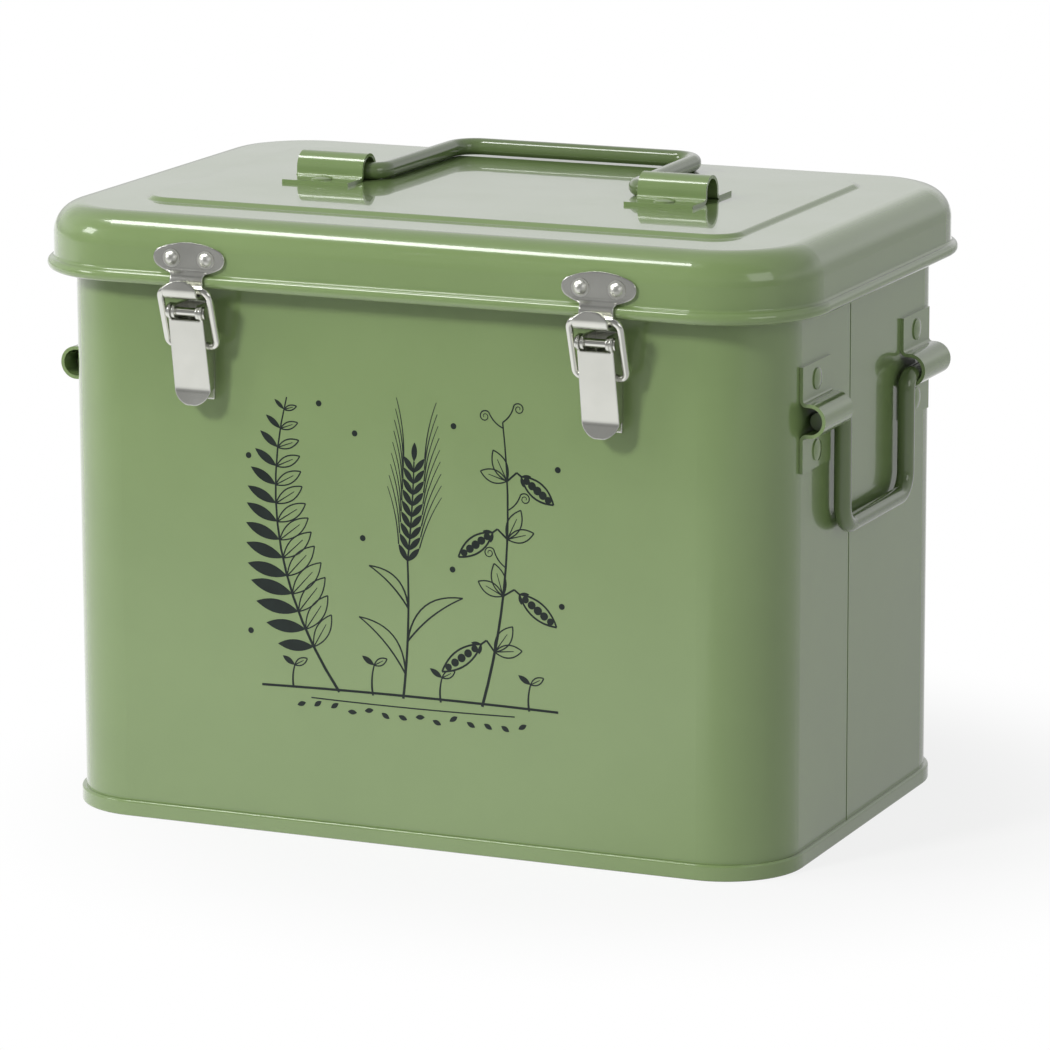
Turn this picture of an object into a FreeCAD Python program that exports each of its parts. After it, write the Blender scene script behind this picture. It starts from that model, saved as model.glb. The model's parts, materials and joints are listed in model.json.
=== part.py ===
import FreeCAD, Part
import math
import os
from FreeCAD import Vector

# A rectangular steel tin with a hinged, riveted lid, two toggle latches and three wire handles.
# Millimetres. +Z is up, the latches are on the -Y face, the origin is the middle of the base.

# ---- the tin: overall sizes ------------------------------------------------------------------
TIN_LENGTH = 215.0          # over the lid's rolled edge, along X
TIN_DEPTH = 145.0           # over the lid's rolled edge, along Y
TIN_HEIGHT = 161.0          # floor to the top of the lid's raised panel
SHEET = 0.6                 # tinned steel of the wall, base and lid
WALL_RADIUS = 20.0          # upright corner of the wall, outside
LID_OVERHANG = 5.7          # lid skirt outside the wall
BEAD_OVERHANG = 7.5         # lid's rolled edge outside the wall
FIT_GAP = 0.05              # seats and running fits

# ---- wall and base ---------------------------------------------------------------------------
MOUTH_CURL_RADIUS = 1.7
SEAM_LEG = 1.2              # outer leg of the base seam, proud of the wall
SEAM_INNER_LEG = 0.8
SEAM_HEIGHT = 4.2
SEAM_FLOOR = 0.8            # metal under the foot of the wall
BASE_LIFT = 2.4             # base plate above the floor
BASE_STEP = 0.8             # pressed step of the base plate
BASE_STEP_INSET = 12.0
SIDE_SEAM_Y = -10.6         # upright lock seam in the +X wall
SIDE_SEAM_WIDTH = 5.0
SIDE_SEAM_FOLD = 0.8
SIDE_SEAM_GROOVE = 0.6
SIDE_SEAM_GROOVE_DEPTH = 0.25

# ---- lid -------------------------------------------------------------------------------------
BEAD_RADIUS = 1.6
BEAD_COVE = 0.8             # hollow rounding between the skirt and the rolled edge
LID_HEIGHT = 18.4           # bottom of the rolled edge to the top of the raised panel
JOG_TOP = 2.8               # a sheet folded over the bead: its bends above the bead's middle
JOG_FOOT = 1.0
JOG_BEND = 1.6
LID_TOP_RADIUS = 8.0
PANEL_LENGTH = 166.0
PANEL_DEPTH = 97.0
PANEL_RADIUS = 8.5
PANEL_RISE = 1.0
PANEL_BEVEL = 1.4
PANEL_BLEND = 1.5           # rounding at the top and the foot of the panel's step
LID_RIM_REACH = 11.0        # how far the swept edge of the lid reaches in past the wall line

# ---- saddle brackets and their rivets --------------------------------------------------------
SADDLE_SHEET = 0.9
SADDLE_SPAN = 27.0          # end to end over both feet
SADDLE_WIDTH = 8.7          # outside of the arch
SADDLE_HEIGHT = 6.9         # outside of the arch above the seat
SADDLE_BEND = 1.3
SADDLE_RIVET_PITCH = 18.2
SADDLE_RIVET_HEAD = 2.8
SADDLE_RIVET_RISE = 0.8
SADDLE_RIVET_SHANK = 1.5
RIVET_RIM = 0.3             # steep edge of every rivet's head, under its dome

# ---- wire handles ----------------------------------------------------------------------------
HANDLE_WIRE = 4.5
SIDE_SADDLE_LENGTH = 19.8
SIDE_SADDLE_INNER = 26.7    # inner end of each saddle from the middle of the side
SIDE_SADDLE_DROP = 27.1     # middle of the arch below the lid
SIDE_HANDLE_OFF = 3.0       # wire axis from the wall
SIDE_HANDLE_LEG_INSET = 3.3 # leg's axis from the saddle's inner end
SIDE_HANDLE_DROP = 30.5
SIDE_HANDLE_BEND = 3.4
SIDE_HANDLE_CORNER = 6.0
LID_SADDLE_LENGTH = 19.0
LID_SADDLE_INNER = 39.0
LID_HANDLE_LEG_INSET = 3.1  # leg's axis from the saddle's inner end
LID_HANDLE_TAPER = 1.2      # leg nearer to the middle at the grip
LID_HANDLE_REACH = 50.0
LID_HANDLE_BEND = 4.2
LID_HANDLE_CORNER = 7.0
WIRE_END_INSET = 5.5        # wire ends stop this far inside a saddle's outer end

# ---- toggle latches --------------------------------------------------------------------------
LATCH_X = 56.4              # latch from the middle of the front
STRIKE_SHEET = 0.8
STRIKE_LENGTH = 20.0
STRIKE_HEIGHT = 8.4
STRIKE_END_RADIUS = 2.7
STRIKE_RISE = 5.8           # rivets of the strike above the middle of the rolled edge
STRIKE_NECK = 8.4
STRIKE_FILLET = 1.1
STRIKE_RIVET_PITCH = 9.7
STRIKE_RIVET_HEAD = 2.3
STRIKE_RIVET_RISE = 1.7
STRIKE_RIVET_SHANK = 1.3
STRIKE_RIVET_RING = 0.5     # flat ring round the dome
HOOK_WIDTH = 9.4
HOOK_THROAT = 3.6           # inside width of the hook's trough
HOOK_DROP = 1.2             # centre of the hook's bend below the middle of the rolled edge
HOOK_LIP_RISE = 2.3         # lip above the centre of the bend
HOOK_LIP_CORNER = 2.2
LOOP_WIRE = 1.9
LOOP_HALF = 6.9            # loop's side wire from the middle
LOOP_TOP_CORNER = 2.4
LOOP_FOOT_CORNER = 1.8
LOOP_FOOT_REACH = 3.6       # the loop's ends stop this far from the middle
LOOP_BACK_GAP = 0.2         # loop's top bar in front of the strike
PIVOT_OFF = 7.7             # lever pivot from the wall
PIVOT_DROP = 6.4            # lever pivot below the centre of the hook's bend
PIN_RADIUS = 1.1
PIN_HEAD_RADIUS = 1.7
PIN_HEAD = 0.55
LOOP_PIVOT_OFF = 4.6        # loop pivot from the wall
LOOP_PIVOT_DROP = 9.1       # loop pivot below the lever pivot
LEVER_SHEET = 0.7
LEVER_WIDTH = 9.5
LEVER_TIP_WIDTH = 10.1
LEVER_FACE_TOP_OFF = 8.7
LEVER_FACE_DROP = 2.1       # top of the face below the lever pivot
LEVER_FACE_FOOT_OFF = 5.3
LEVER_FACE_FALL = 18.7      # foot of the face below its top
LEVER_TIP_LENGTH = 4.0
LEVER_TIP_TURN = 24.0
LEVER_CHEEK_FOOT = 2.2
LEVER_EAR_RADIUS = 2.2
LEVER_LOOP_EDGE = 1.0       # metal behind the loop's hole in a cheek
LEVER_TIP_BEND = 4.0
LATCH_BASE_SHEET = 0.9
LATCH_BASE_GAP = 0.15       # each side, between the base's ears and the lever
LATCH_BASE_DROP = 2.8       # foot of the base below the foot of the lever's face
LATCH_BASE_EAR = 1.9
LATCH_BASE_EAR_SPREAD = 1.5
LATCH_BASE_RIVET_RISES = (14.5, 4.0)  # above the foot of the base
LATCH_RIVET_HEAD = 2.1
LATCH_RIVET_RISE = 0.8
LATCH_RIVET_SHANK = 1.2

# ---- hinges ----------------------------------------------------------------------------------
HINGE_X = 57.5
HINGE_SHEET = 0.8
HINGE_WIDTH = 26.0
HINGE_KNUCKLE_RADIUS = 2.0
HINGE_PIN_RADIUS = 1.1
HINGE_DROP = 2.2            # pin below the lid's rolled edge
HINGE_KNUCKLES = 3
HINGE_KNUCKLE_GAP = 0.15
HINGE_LID_LEAF = 13.6       # above the pin
HINGE_LID_RIVET_INSET = 4.0
HINGE_BODY_LEAF = 29.4      # below the pin
HINGE_BODY_RIVET_INSET = 7.5
HINGE_JOG_RISE = 16.5       # start of the lower leaf's bend above its foot
HINGE_BEND = 1.6
HINGE_RIVET_PITCH = 15.0
HINGE_RIVET_HEAD = 2.3
HINGE_RIVET_RISE = 0.9
HINGE_RIVET_SHANK = 1.3

TAIL_RADIUS_MARGIN = 0.7    # a rivet's closed tail is this much wider than its shank
TAIL_HEIGHT = 0.5
FOLD_SPARE = 0.01           # a fold of nearly its full half width is this much tighter
NEAR = 0.001                # two places closer than this are the same

# ---- sizes that follow -----------------------------------------------------------------------
WALL_LENGTH = TIN_LENGTH - 2 * BEAD_OVERHANG
WALL_DEPTH = TIN_DEPTH - 2 * BEAD_OVERHANG
RIM_Z = TIN_HEIGHT - PANEL_RISE
BEAD_BOTTOM = TIN_HEIGHT - LID_HEIGHT
BEAD_Z = BEAD_BOTTOM + BEAD_RADIUS
SIDE_SADDLE_Z = BEAD_BOTTOM - SIDE_SADDLE_DROP
STRIKE_Z = BEAD_Z + STRIKE_RISE
HOOK_Z = BEAD_Z - HOOK_DROP
HOOK_LIP_TOP = HOOK_Z + HOOK_LIP_RISE
PIVOT_Z = HOOK_Z - PIVOT_DROP
LOOP_PIVOT_Z = PIVOT_Z - LOOP_PIVOT_DROP
LEVER_FACE_TOP_Z = PIVOT_Z - LEVER_FACE_DROP
LEVER_FACE_FOOT_Z = LEVER_FACE_TOP_Z - LEVER_FACE_FALL
LATCH_BASE_FOOT_Z = LEVER_FACE_FOOT_Z - LATCH_BASE_DROP
LATCH_BASE_RIVET_Z = [LATCH_BASE_FOOT_Z + rise for rise in LATCH_BASE_RIVET_RISES]
HINGE_Z = BEAD_BOTTOM - HINGE_DROP
HINGE_LID_LEAF_TOP = HINGE_Z + HINGE_LID_LEAF
HINGE_LID_RIVET_Z = HINGE_LID_LEAF_TOP - HINGE_LID_RIVET_INSET
HINGE_BODY_LEAF_FOOT = HINGE_Z - HINGE_BODY_LEAF
HINGE_BODY_RIVET_Z = HINGE_BODY_LEAF_FOOT + HINGE_BODY_RIVET_INSET
HINGE_JOG_Z = HINGE_BODY_LEAF_FOOT + HINGE_JOG_RISE
OVER_BEAD = BEAD_OVERHANG + FIT_GAP
WIRE_RADIUS = HANDLE_WIRE / 2
LOOP_RADIUS = LOOP_WIRE / 2
X_AXIS = Vector(1, 0, 0)
Y_AXIS = Vector(0, 1, 0)
Z_AXIS = Vector(0, 0, 1)
ORIGIN = Vector(0, 0, 0)


# ---- outlines --------------------------------------------------------------------------------
def rounded_rectangle(length, depth, radius, z):
    """Closed wire: four sides and four quarter-circle corners at height z."""
    corners = [(-1, -1), (1, -1), (1, 1), (-1, 1)]
    start_angles = [180, 270, 0, 90]
    arcs = []
    for (side_x, side_y), start in zip(corners, start_angles):
        centre = Vector(side_x * (length / 2 - radius), side_y * (depth / 2 - radius), z)
        circle = Part.Circle(centre, Z_AXIS, radius)
        arcs.append(circle.toShape(math.radians(start), math.radians(start + 90)))
    edges = []
    for index, arc in enumerate(arcs):
        edges.append(arc)
        following = arcs[(index + 1) % 4]
        edges.append(Part.makeLine(arc.Vertexes[-1].Point, following.Vertexes[0].Point))
    return Part.Wire(Part.__sortEdges__(edges))


def rounded_block(length, depth, radius, bottom, top):
    """Upright block on a rounded rectangle."""
    face = Part.Face(rounded_rectangle(length, depth, radius, bottom))
    return face.extrude(Vector(0, 0, top - bottom))


def rounded_frustum(length, depth, radius, inset, bottom, top):
    """Block whose sides lean in by inset between bottom and top."""
    low = rounded_rectangle(length, depth, radius, bottom)
    high = rounded_rectangle(length - 2 * inset, depth - 2 * inset, radius - inset, top)
    return Part.makeLoft([low, high], True, True)


def polygon_face(points):
    """Flat face through points given as (distance outside the wall, height), in the XZ plane."""
    corners = [Vector(off, 0, z) for off, z in points]
    return Part.Face(Part.makePolygon(corners + corners[:1]))


def disc_face(off, z, radius):
    """Flat disc in the XZ plane."""
    circle = Part.Circle(Vector(off, 0, z), Y_AXIS, radius)
    return Part.Face(Part.Wire(circle.toShape()))


def swept_ring(section):
    """Sweeps a section round the wall line; the section's x is its distance outside the wall."""
    inner_x = WALL_LENGTH / 2 - WALL_RADIUS
    inner_y = WALL_DEPTH / 2 - WALL_RADIUS
    centres = [(inner_x, inner_y), (-inner_x, inner_y), (-inner_x, -inner_y), (inner_x, -inner_y)]
    pieces = []
    for quarter in range(4):
        across = WALL_LENGTH / 2 if quarter % 2 == 0 else WALL_DEPTH / 2
        run = 2 * inner_y if quarter % 2 == 0 else 2 * inner_x
        side = section.translated(Vector(across, -run / 2, 0)).extrude(Vector(0, run, 0))
        side.rotate(ORIGIN, Z_AXIS, 90 * quarter)
        pieces.append(side)
        corner = section.translated(Vector(WALL_RADIUS, 0, 0)).revolve(ORIGIN, Z_AXIS, 90)
        corner.rotate(ORIGIN, Z_AXIS, 90 * quarter)
        corner.translate(Vector(centres[quarter][0], centres[quarter][1], 0))
        pieces.append(corner)
    return pieces[0].multiFuse(pieces[1:]).removeSplitter()


# ---- folded sheet and bent wire --------------------------------------------------------------
def bent_path(points, radii):
    """Runs and tangent arcs through 2-D points: a list of (start, end, centre or None, turn)."""
    spots = [Vector(a, b, 0) for a, b in points]
    parts = []
    here = spots[0]
    for index in range(1, len(spots) - 1):
        before = (spots[index] - spots[index - 1]).normalize()
        after = (spots[index + 1] - spots[index]).normalize()
        turn = math.atan2(before.cross(after).z, before.dot(after))
        radius = radii[index - 1]
        trim = radius * math.tan(abs(turn) / 2)
        arc_start = spots[index] - before * trim
        arc_end = spots[index] + after * trim
        side = 1 if turn > 0 else -1
        centre = arc_start + Vector(-before.y, before.x, 0) * radius * side
        if (arc_start - here).Length > NEAR:
            parts.append((here, arc_start, None, 0))
        parts.append((arc_start, arc_end, centre, turn))
        here = arc_end
    parts.append((here, spots[-1], None, 0))
    return parts


def arc_middle(start, centre, turn):
    """Point half way round an arc from start about centre."""
    spoke = start - centre
    half = turn / 2
    turned_x = spoke.x * math.cos(half) - spoke.y * math.sin(half)
    turned_y = spoke.x * math.sin(half) + spoke.y * math.cos(half)
    return centre + Vector(turned_x, turned_y, 0)


def offset_edges(parts, distance, lift):
    """Edges of the path moved sideways by distance, lifted into 3-D by the function lift."""
    edges = []
    for start, end, centre, turn in parts:
        if centre is None:
            along = (end - start).normalize()
            sideways = Vector(-along.y, along.x, 0) * distance
            edges.append(Part.makeLine(lift(start + sideways), lift(end + sideways)))
        else:
            middle = arc_middle(start, centre, turn)
            moved = []
            for spot in (start, middle, end):
                spoke = (spot - centre).normalize()
                outward = -1 if turn > 0 else 1
                moved.append(lift(spot + spoke * distance * outward))
            edges.append(Part.Arc(moved[0], moved[1], moved[2]).toShape())
    return edges


def folded_sheet(points, radii, thickness, width):
    """Sheet folded along a centre line of (distance outside the wall, height), centred on x = 0.

    The wall is the plane y = 0 and its outside is -Y.
    """
    def lift(spot):
        return Vector(-width / 2, -spot.x, spot.y)

    parts = bent_path(points, radii)
    left = offset_edges(parts, thickness / 2, lift)
    right = offset_edges(parts, -thickness / 2, lift)
    caps = [
        Part.makeLine(left[0].Vertexes[0].Point, right[0].Vertexes[0].Point),
        Part.makeLine(left[-1].Vertexes[-1].Point, right[-1].Vertexes[-1].Point),
    ]
    outline = Part.Wire(Part.__sortEdges__(left + right + caps))
    return Part.Face(outline).extrude(Vector(width, 0, 0))


def bent_wire(points, radii, radius):
    """Round wire along a centre line of (x, height), in the plane y = 0."""
    def lift(spot):
        return Vector(spot.x, 0, spot.y)

    parts = bent_path(points, radii)
    solids = []
    for start, end, centre, turn in parts:
        edge = offset_edges([(start, end, centre, turn)], 0, lift)[0]
        first = edge.Vertexes[0].Point
        heading = edge.tangentAt(edge.FirstParameter)
        disc = Part.Face(Part.Wire(Part.Circle(first, heading, radius).toShape()))
        if centre is None:
            solids.append(disc.extrude(lift(end) - lift(start)))
        else:
            axis = Vector(0, -1, 0) if turn > 0 else Vector(0, 1, 0)
            solids.append(disc.revolve(lift(centre), axis, math.degrees(abs(turn))))
    return solids[0].multiFuse(solids[1:]).removeSplitter()


def turned_y(profile):
    """Solid of revolution about Y from (radius, distance outside the wall) points and arcs."""
    return Part.Face(profile).revolve(ORIGIN, Y_AXIS, 360)


def rivet(outer_off, inner_off, head_radius, head_rise, shank_radius, ring=0.0):
    """Rivet along Y through everything between inner_off and outer_off.

    Its head has a steep rim and a dome, with a flat ring of this width round the dome.
    """
    tail_radius = shank_radius + TAIL_RADIUS_MARGIN
    rim_off = outer_off + RIVET_RIM
    dome_radius = head_radius - ring
    dome_rise = head_rise - RIVET_RIM
    ball_radius = (dome_radius ** 2 + dome_rise ** 2) / (2 * dome_rise)
    ball_centre = Vector(0, -(rim_off + dome_rise - ball_radius), 0)
    crown = Vector(0, -(rim_off + dome_rise), 0)
    dome_foot = Vector(dome_radius, -rim_off, 0)
    spoke = (dome_foot - ball_centre).normalize()
    half_way = ball_centre + (spoke + Vector(0, -1, 0)).normalize() * ball_radius
    spots = [
        dome_foot,
        Vector(head_radius, -rim_off, 0),
        Vector(head_radius, -outer_off, 0),
        Vector(shank_radius, -outer_off, 0),
        Vector(shank_radius, -inner_off, 0),
        Vector(tail_radius, -inner_off, 0),
        Vector(tail_radius, -(inner_off - TAIL_HEIGHT), 0),
        Vector(0, -(inner_off - TAIL_HEIGHT), 0),
        crown,
    ]
    edges = [Part.Arc(crown, half_way, dome_foot).toShape()]
    for first, second in zip(spots[:-1], spots[1:]):
        if (second - first).Length > NEAR:
            edges.append(Part.makeLine(first, second))
    return turned_y(Part.Wire(Part.__sortEdges__(edges)))


def rod(x, off, z, radius, length):
    """Round rod along X, centred on x, at a place outside the wall."""
    return Part.makeCylinder(radius, length, Vector(x - length / 2, -off, z), X_AXIS)


def drill(off_from, off_to, x, z, radius):
    """Cutter for a round hole through a wall."""
    return Part.makeCylinder(radius, off_to - off_from, Vector(x, -off_from, z), Vector(0, -1, 0))


# ---- places ----------------------------------------------------------------------------------
def on_front(shape, x=0.0):
    moved = shape.copy()
    moved.translate(Vector(x, -WALL_DEPTH / 2, 0))
    return moved


def on_back(shape, x=0.0):
    moved = shape.copy()
    moved.rotate(ORIGIN, Z_AXIS, 180)
    moved.translate(Vector(x, WALL_DEPTH / 2, 0))
    return moved


def on_right(shape, y=0.0):
    moved = shape.copy()
    moved.rotate(ORIGIN, Z_AXIS, 90)
    moved.translate(Vector(WALL_LENGTH / 2, y, 0))
    return moved


def on_left(shape, y=0.0):
    moved = shape.copy()
    moved.rotate(ORIGIN, Z_AXIS, -90)
    moved.translate(Vector(-WALL_LENGTH / 2, y, 0))
    return moved


def on_lid(shape, x=0.0, y=0.0):
    """Turns the wall's outside to face up, on the lid's panel."""
    moved = shape.copy()
    moved.rotate(ORIGIN, X_AXIS, -90)
    moved.translate(Vector(x, y, TIN_HEIGHT))
    return moved


def group(solids):
    """Several separate solids in one piece."""
    return Part.makeCompound(solids)


# ---- wall and base ---------------------------------------------------------------------------
def mouth_curl_z():
    """Height of the mouth curl at which the lid's rounded edge rests on it."""
    inside_radius = LID_TOP_RADIUS - SHEET
    across = (MOUTH_CURL_RADIUS - SHEET) - (LID_OVERHANG - LID_TOP_RADIUS)
    reach = inside_radius - MOUTH_CURL_RADIUS - FIT_GAP
    return RIM_Z - LID_TOP_RADIUS + math.sqrt(reach ** 2 - across ** 2)


def make_body_wall(holes):
    curl_z = mouth_curl_z()
    strip = polygon_face([(-SHEET, SEAM_FLOOR), (0, SEAM_FLOOR), (0, curl_z), (-SHEET, curl_z)])
    curl = disc_face(MOUTH_CURL_RADIUS - SHEET, curl_z, MOUTH_CURL_RADIUS)
    wall = swept_ring(strip).fuse(swept_ring(curl)).removeSplitter()
    fold_foot = SEAM_HEIGHT + SHEET
    fold_top = curl_z - MOUTH_CURL_RADIUS
    fold = Part.makeBox(
        SIDE_SEAM_FOLD, SIDE_SEAM_WIDTH, fold_top - fold_foot,
        Vector(WALL_LENGTH / 2 - SHEET - SIDE_SEAM_FOLD, SIDE_SEAM_Y - SIDE_SEAM_WIDTH / 2, fold_foot),
    )
    groove = Part.makeBox(
        SIDE_SEAM_GROOVE_DEPTH + SHEET, SIDE_SEAM_GROOVE, fold_top - SEAM_HEIGHT,
        Vector(WALL_LENGTH / 2 - SIDE_SEAM_GROOVE_DEPTH, SIDE_SEAM_Y - SIDE_SEAM_GROOVE / 2, SEAM_HEIGHT),
    )
    return wall.fuse(fold).cut(groove).cut(group(holes))


def make_base_pan():
    inner = -SHEET - SEAM_INNER_LEG
    channel = polygon_face([
        (inner, 0), (SEAM_LEG, 0), (SEAM_LEG, SEAM_HEIGHT), (0, SEAM_HEIGHT), (0, SEAM_FLOOR),
        (-SHEET, SEAM_FLOOR), (-SHEET, SEAM_HEIGHT), (inner, SEAM_HEIGHT),
    ])
    ring = swept_ring(channel)
    plate_length = WALL_LENGTH + 2 * inner
    plate_depth = WALL_DEPTH + 2 * inner
    plate_radius = WALL_RADIUS + inner
    plate = rounded_block(plate_length, plate_depth, plate_radius, BASE_LIFT, BASE_LIFT + SHEET)
    step = (
        plate_length - 2 * BASE_STEP_INSET,
        plate_depth - 2 * BASE_STEP_INSET,
        plate_radius - BASE_STEP_INSET / 2,
        BASE_STEP,
    )
    raised = rounded_frustum(*step, BASE_LIFT + SHEET, BASE_LIFT + SHEET + BASE_STEP)
    hollow = rounded_frustum(*step, BASE_LIFT, BASE_LIFT + BASE_STEP)
    pan = ring.fuse(plate).fuse(raised).cut(hollow).removeSplitter()
    outside = [
        edge for edge in pan.Edges
        if lies_on_ring(edge, SEAM_LEG) and (lies_at(edge, 0) or lies_at(edge, SEAM_HEIGHT))
    ]
    return pan.makeFillet(SEAM_LEG / 2, outside)


def lies_at(edge, z):
    """True for an edge that is level at this height."""
    return abs(edge.BoundBox.ZMin - z) < NEAR and abs(edge.BoundBox.ZMax - z) < NEAR


def lies_on_ring(edge, off):
    """True for an edge that runs round the tin at this distance outside the wall."""
    spot = edge.valueAt((edge.FirstParameter + edge.LastParameter) / 2)
    inner_x = WALL_LENGTH / 2 - WALL_RADIUS
    inner_y = WALL_DEPTH / 2 - WALL_RADIUS
    beyond_x = max(abs(spot.x) - inner_x, 0)
    beyond_y = max(abs(spot.y) - inner_y, 0)
    return abs(math.hypot(beyond_x, beyond_y) - WALL_RADIUS - off) < NEAR


# ---- lid -------------------------------------------------------------------------------------
def lid_edge_section():
    """Rolled edge, hollow rounding, skirt, rounded top edge and the start of the flat rim."""
    def lift(spot):
        return Vector(spot.x, 0, spot.y)

    def arc(start, middle, end):
        return Part.Arc(lift(start), lift(middle), lift(end)).toShape()

    inner_off = LID_OVERHANG - SHEET
    bead = Vector(BEAD_OVERHANG - BEAD_RADIUS, BEAD_Z, 0)
    cove_off = LID_OVERHANG + BEAD_COVE
    cove_rise = math.sqrt((BEAD_COVE + BEAD_RADIUS) ** 2 - (cove_off - bead.x) ** 2)
    cove = Vector(cove_off, BEAD_Z + cove_rise, 0)
    skirt_foot = Vector(LID_OVERHANG, cove.y, 0)
    bead_start = bead + (cove - bead).normalize() * BEAD_RADIUS
    end_rise = math.sqrt(BEAD_RADIUS ** 2 - (inner_off - bead.x) ** 2)
    bead_end = Vector(inner_off, BEAD_Z + end_rise, 0)
    toward_cove = ((skirt_foot - cove).normalize() + (bead_start - cove).normalize()).normalize()
    upward = ((bead_start - bead).normalize() + (bead_end - bead).normalize()).normalize()

    outer_run = [(LID_OVERHANG, skirt_foot.y), (LID_OVERHANG, RIM_Z), (-LID_RIM_REACH, RIM_Z)]
    inner_run = [(inner_off, bead_end.y), (inner_off, RIM_Z - SHEET), (-LID_RIM_REACH, RIM_Z - SHEET)]
    outer = offset_edges(bent_path(outer_run, [LID_TOP_RADIUS]), 0, lift)
    inner = offset_edges(bent_path(inner_run, [LID_TOP_RADIUS - SHEET]), 0, lift)
    cap = Part.makeLine(outer[-1].Vertexes[-1].Point, inner[-1].Vertexes[-1].Point)
    hollow = arc(skirt_foot, cove + toward_cove * BEAD_COVE, bead_start)
    roll = arc(bead_start, bead - upward * BEAD_RADIUS, bead_end)
    return Part.Face(Part.Wire(Part.__sortEdges__(outer + inner + [cap, hollow, roll])))


def make_lid_shell(holes):
    edge = swept_ring(lid_edge_section())
    reach = 2 * LID_RIM_REACH
    plate = rounded_block(
        WALL_LENGTH - reach, WALL_DEPTH - reach, WALL_RADIUS - LID_RIM_REACH, RIM_Z - SHEET, RIM_Z
    )
    panel = (PANEL_LENGTH, PANEL_DEPTH, PANEL_RADIUS, PANEL_BEVEL)
    raised = rounded_frustum(*panel, RIM_Z, TIN_HEIGHT)
    hollow = rounded_frustum(*panel, RIM_Z - SHEET, TIN_HEIGHT - SHEET)
    shell = edge.fuse(plate).fuse(raised).cut(hollow).removeSplitter()
    shell = shell.makeFillet(PANEL_BLEND, [one for one in shell.Edges if on_panel_step(one)])
    return shell.cut(group(holes))


def on_panel_step(edge):
    """True for an edge at the top or the foot of the panel's step, on the lid's outside."""
    box = edge.BoundBox
    within = max(abs(box.XMin), abs(box.XMax)) < PANEL_LENGTH / 2 + NEAR
    within = within and max(abs(box.YMin), abs(box.YMax)) < PANEL_DEPTH / 2 + NEAR
    return within and (lies_at(edge, TIN_HEIGHT) or lies_at(edge, RIM_Z))


# ---- saddle brackets and wire handles --------------------------------------------------------
def make_saddle(length):
    """Arched strap with two feet; the arch runs along X and its feet reach along Z."""
    half = SADDLE_WIDTH / 2 - SADDLE_SHEET / 2
    seat = SADDLE_SHEET / 2
    crown = SADDLE_HEIGHT - SADDLE_SHEET / 2
    reach = SADDLE_SPAN / 2
    points = [(seat, -reach), (seat, -half), (crown, -half), (crown, half), (seat, half), (seat, reach)]
    radii = [SADDLE_BEND, half - FOLD_SPARE, half - FOLD_SPARE, SADDLE_BEND]
    strap = folded_sheet(points, radii, SADDLE_SHEET, length)
    return strap.cut(group(saddle_holes(0.0)))


def saddle_holes(z):
    """Cutters for the two rivets of a saddle whose arch is at height z."""
    half = SADDLE_RIVET_PITCH / 2
    deep = 2 * SHEET
    return [drill(-deep, 2 * SADDLE_SHEET, 0, z + side * half, SADDLE_RIVET_SHANK) for side in (-1, 1)]


def saddle_rivets(z):
    pair = []
    for side in (-1, 1):
        one = rivet(SADDLE_SHEET, -SHEET, SADDLE_RIVET_HEAD, SADDLE_RIVET_RISE, SADDLE_RIVET_SHANK)
        one.translate(Vector(0, 0, z + side * SADDLE_RIVET_PITCH / 2))
        pair.append(one)
    return pair


def side_saddle_places():
    middle = SIDE_SADDLE_INNER + SIDE_SADDLE_LENGTH / 2
    return (-middle, middle)


def lid_saddle_places():
    middle = LID_SADDLE_INNER + LID_SADDLE_LENGTH / 2
    return (-middle, middle)


def side_handle_z():
    """The wire hangs on the lower inside of the arch."""
    play = SADDLE_WIDTH / 2 - SADDLE_SHEET - WIRE_RADIUS - FIT_GAP
    arch_off = SADDLE_HEIGHT - SADDLE_WIDTH / 2
    return SIDE_SADDLE_Z - math.sqrt(play ** 2 - (SIDE_HANDLE_OFF - arch_off) ** 2)


def make_side_handle():
    """Wire handle that hangs down in front of the plane y = 0."""
    end = SIDE_SADDLE_INNER + SIDE_SADDLE_LENGTH - WIRE_END_INSET
    top = side_handle_z()
    foot = top - SIDE_HANDLE_DROP
    half = SIDE_SADDLE_INNER - SIDE_HANDLE_LEG_INSET
    points = [(-end, top), (-half, top), (-half, foot), (half, foot), (half, top), (end, top)]
    radii = [SIDE_HANDLE_BEND, SIDE_HANDLE_CORNER, SIDE_HANDLE_CORNER, SIDE_HANDLE_BEND]
    handle = bent_wire(points, radii, WIRE_RADIUS)
    handle.translate(Vector(0, -SIDE_HANDLE_OFF, 0))
    return handle


def make_lid_handle():
    """Wire handle lying back on the lid; its wire rests on the panel."""
    end = LID_SADDLE_INNER + LID_SADDLE_LENGTH - WIRE_END_INSET
    root = LID_SADDLE_INNER - LID_HANDLE_LEG_INSET
    half = root - LID_HANDLE_TAPER
    reach = LID_HANDLE_REACH
    points = [(-end, 0), (-root, 0), (-half, reach), (half, reach), (root, 0), (end, 0)]
    radii = [LID_HANDLE_BEND, LID_HANDLE_CORNER, LID_HANDLE_CORNER, LID_HANDLE_BEND]
    handle = bent_wire(points, radii, WIRE_RADIUS)
    handle.translate(Vector(0, -(WIRE_RADIUS + FIT_GAP), 0))
    return handle


# ---- toggle latch ----------------------------------------------------------------------------
def loop_bar_off():
    """Distance of the loop's top bar outside the wall."""
    return OVER_BEAD + STRIKE_SHEET + LOOP_BACK_GAP + LOOP_RADIUS


def hook_off():
    """Distance of the hook's bend centre outside the wall."""
    return OVER_BEAD + STRIKE_SHEET + HOOK_THROAT / 2


def loop_bar_z():
    """Height at which the loop's top bar rests in the bottom of the hook."""
    spare = HOOK_THROAT / 2 - LOOP_RADIUS - FIT_GAP
    return HOOK_Z - math.sqrt(spare ** 2 - (hook_off() - loop_bar_off()) ** 2)


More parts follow.
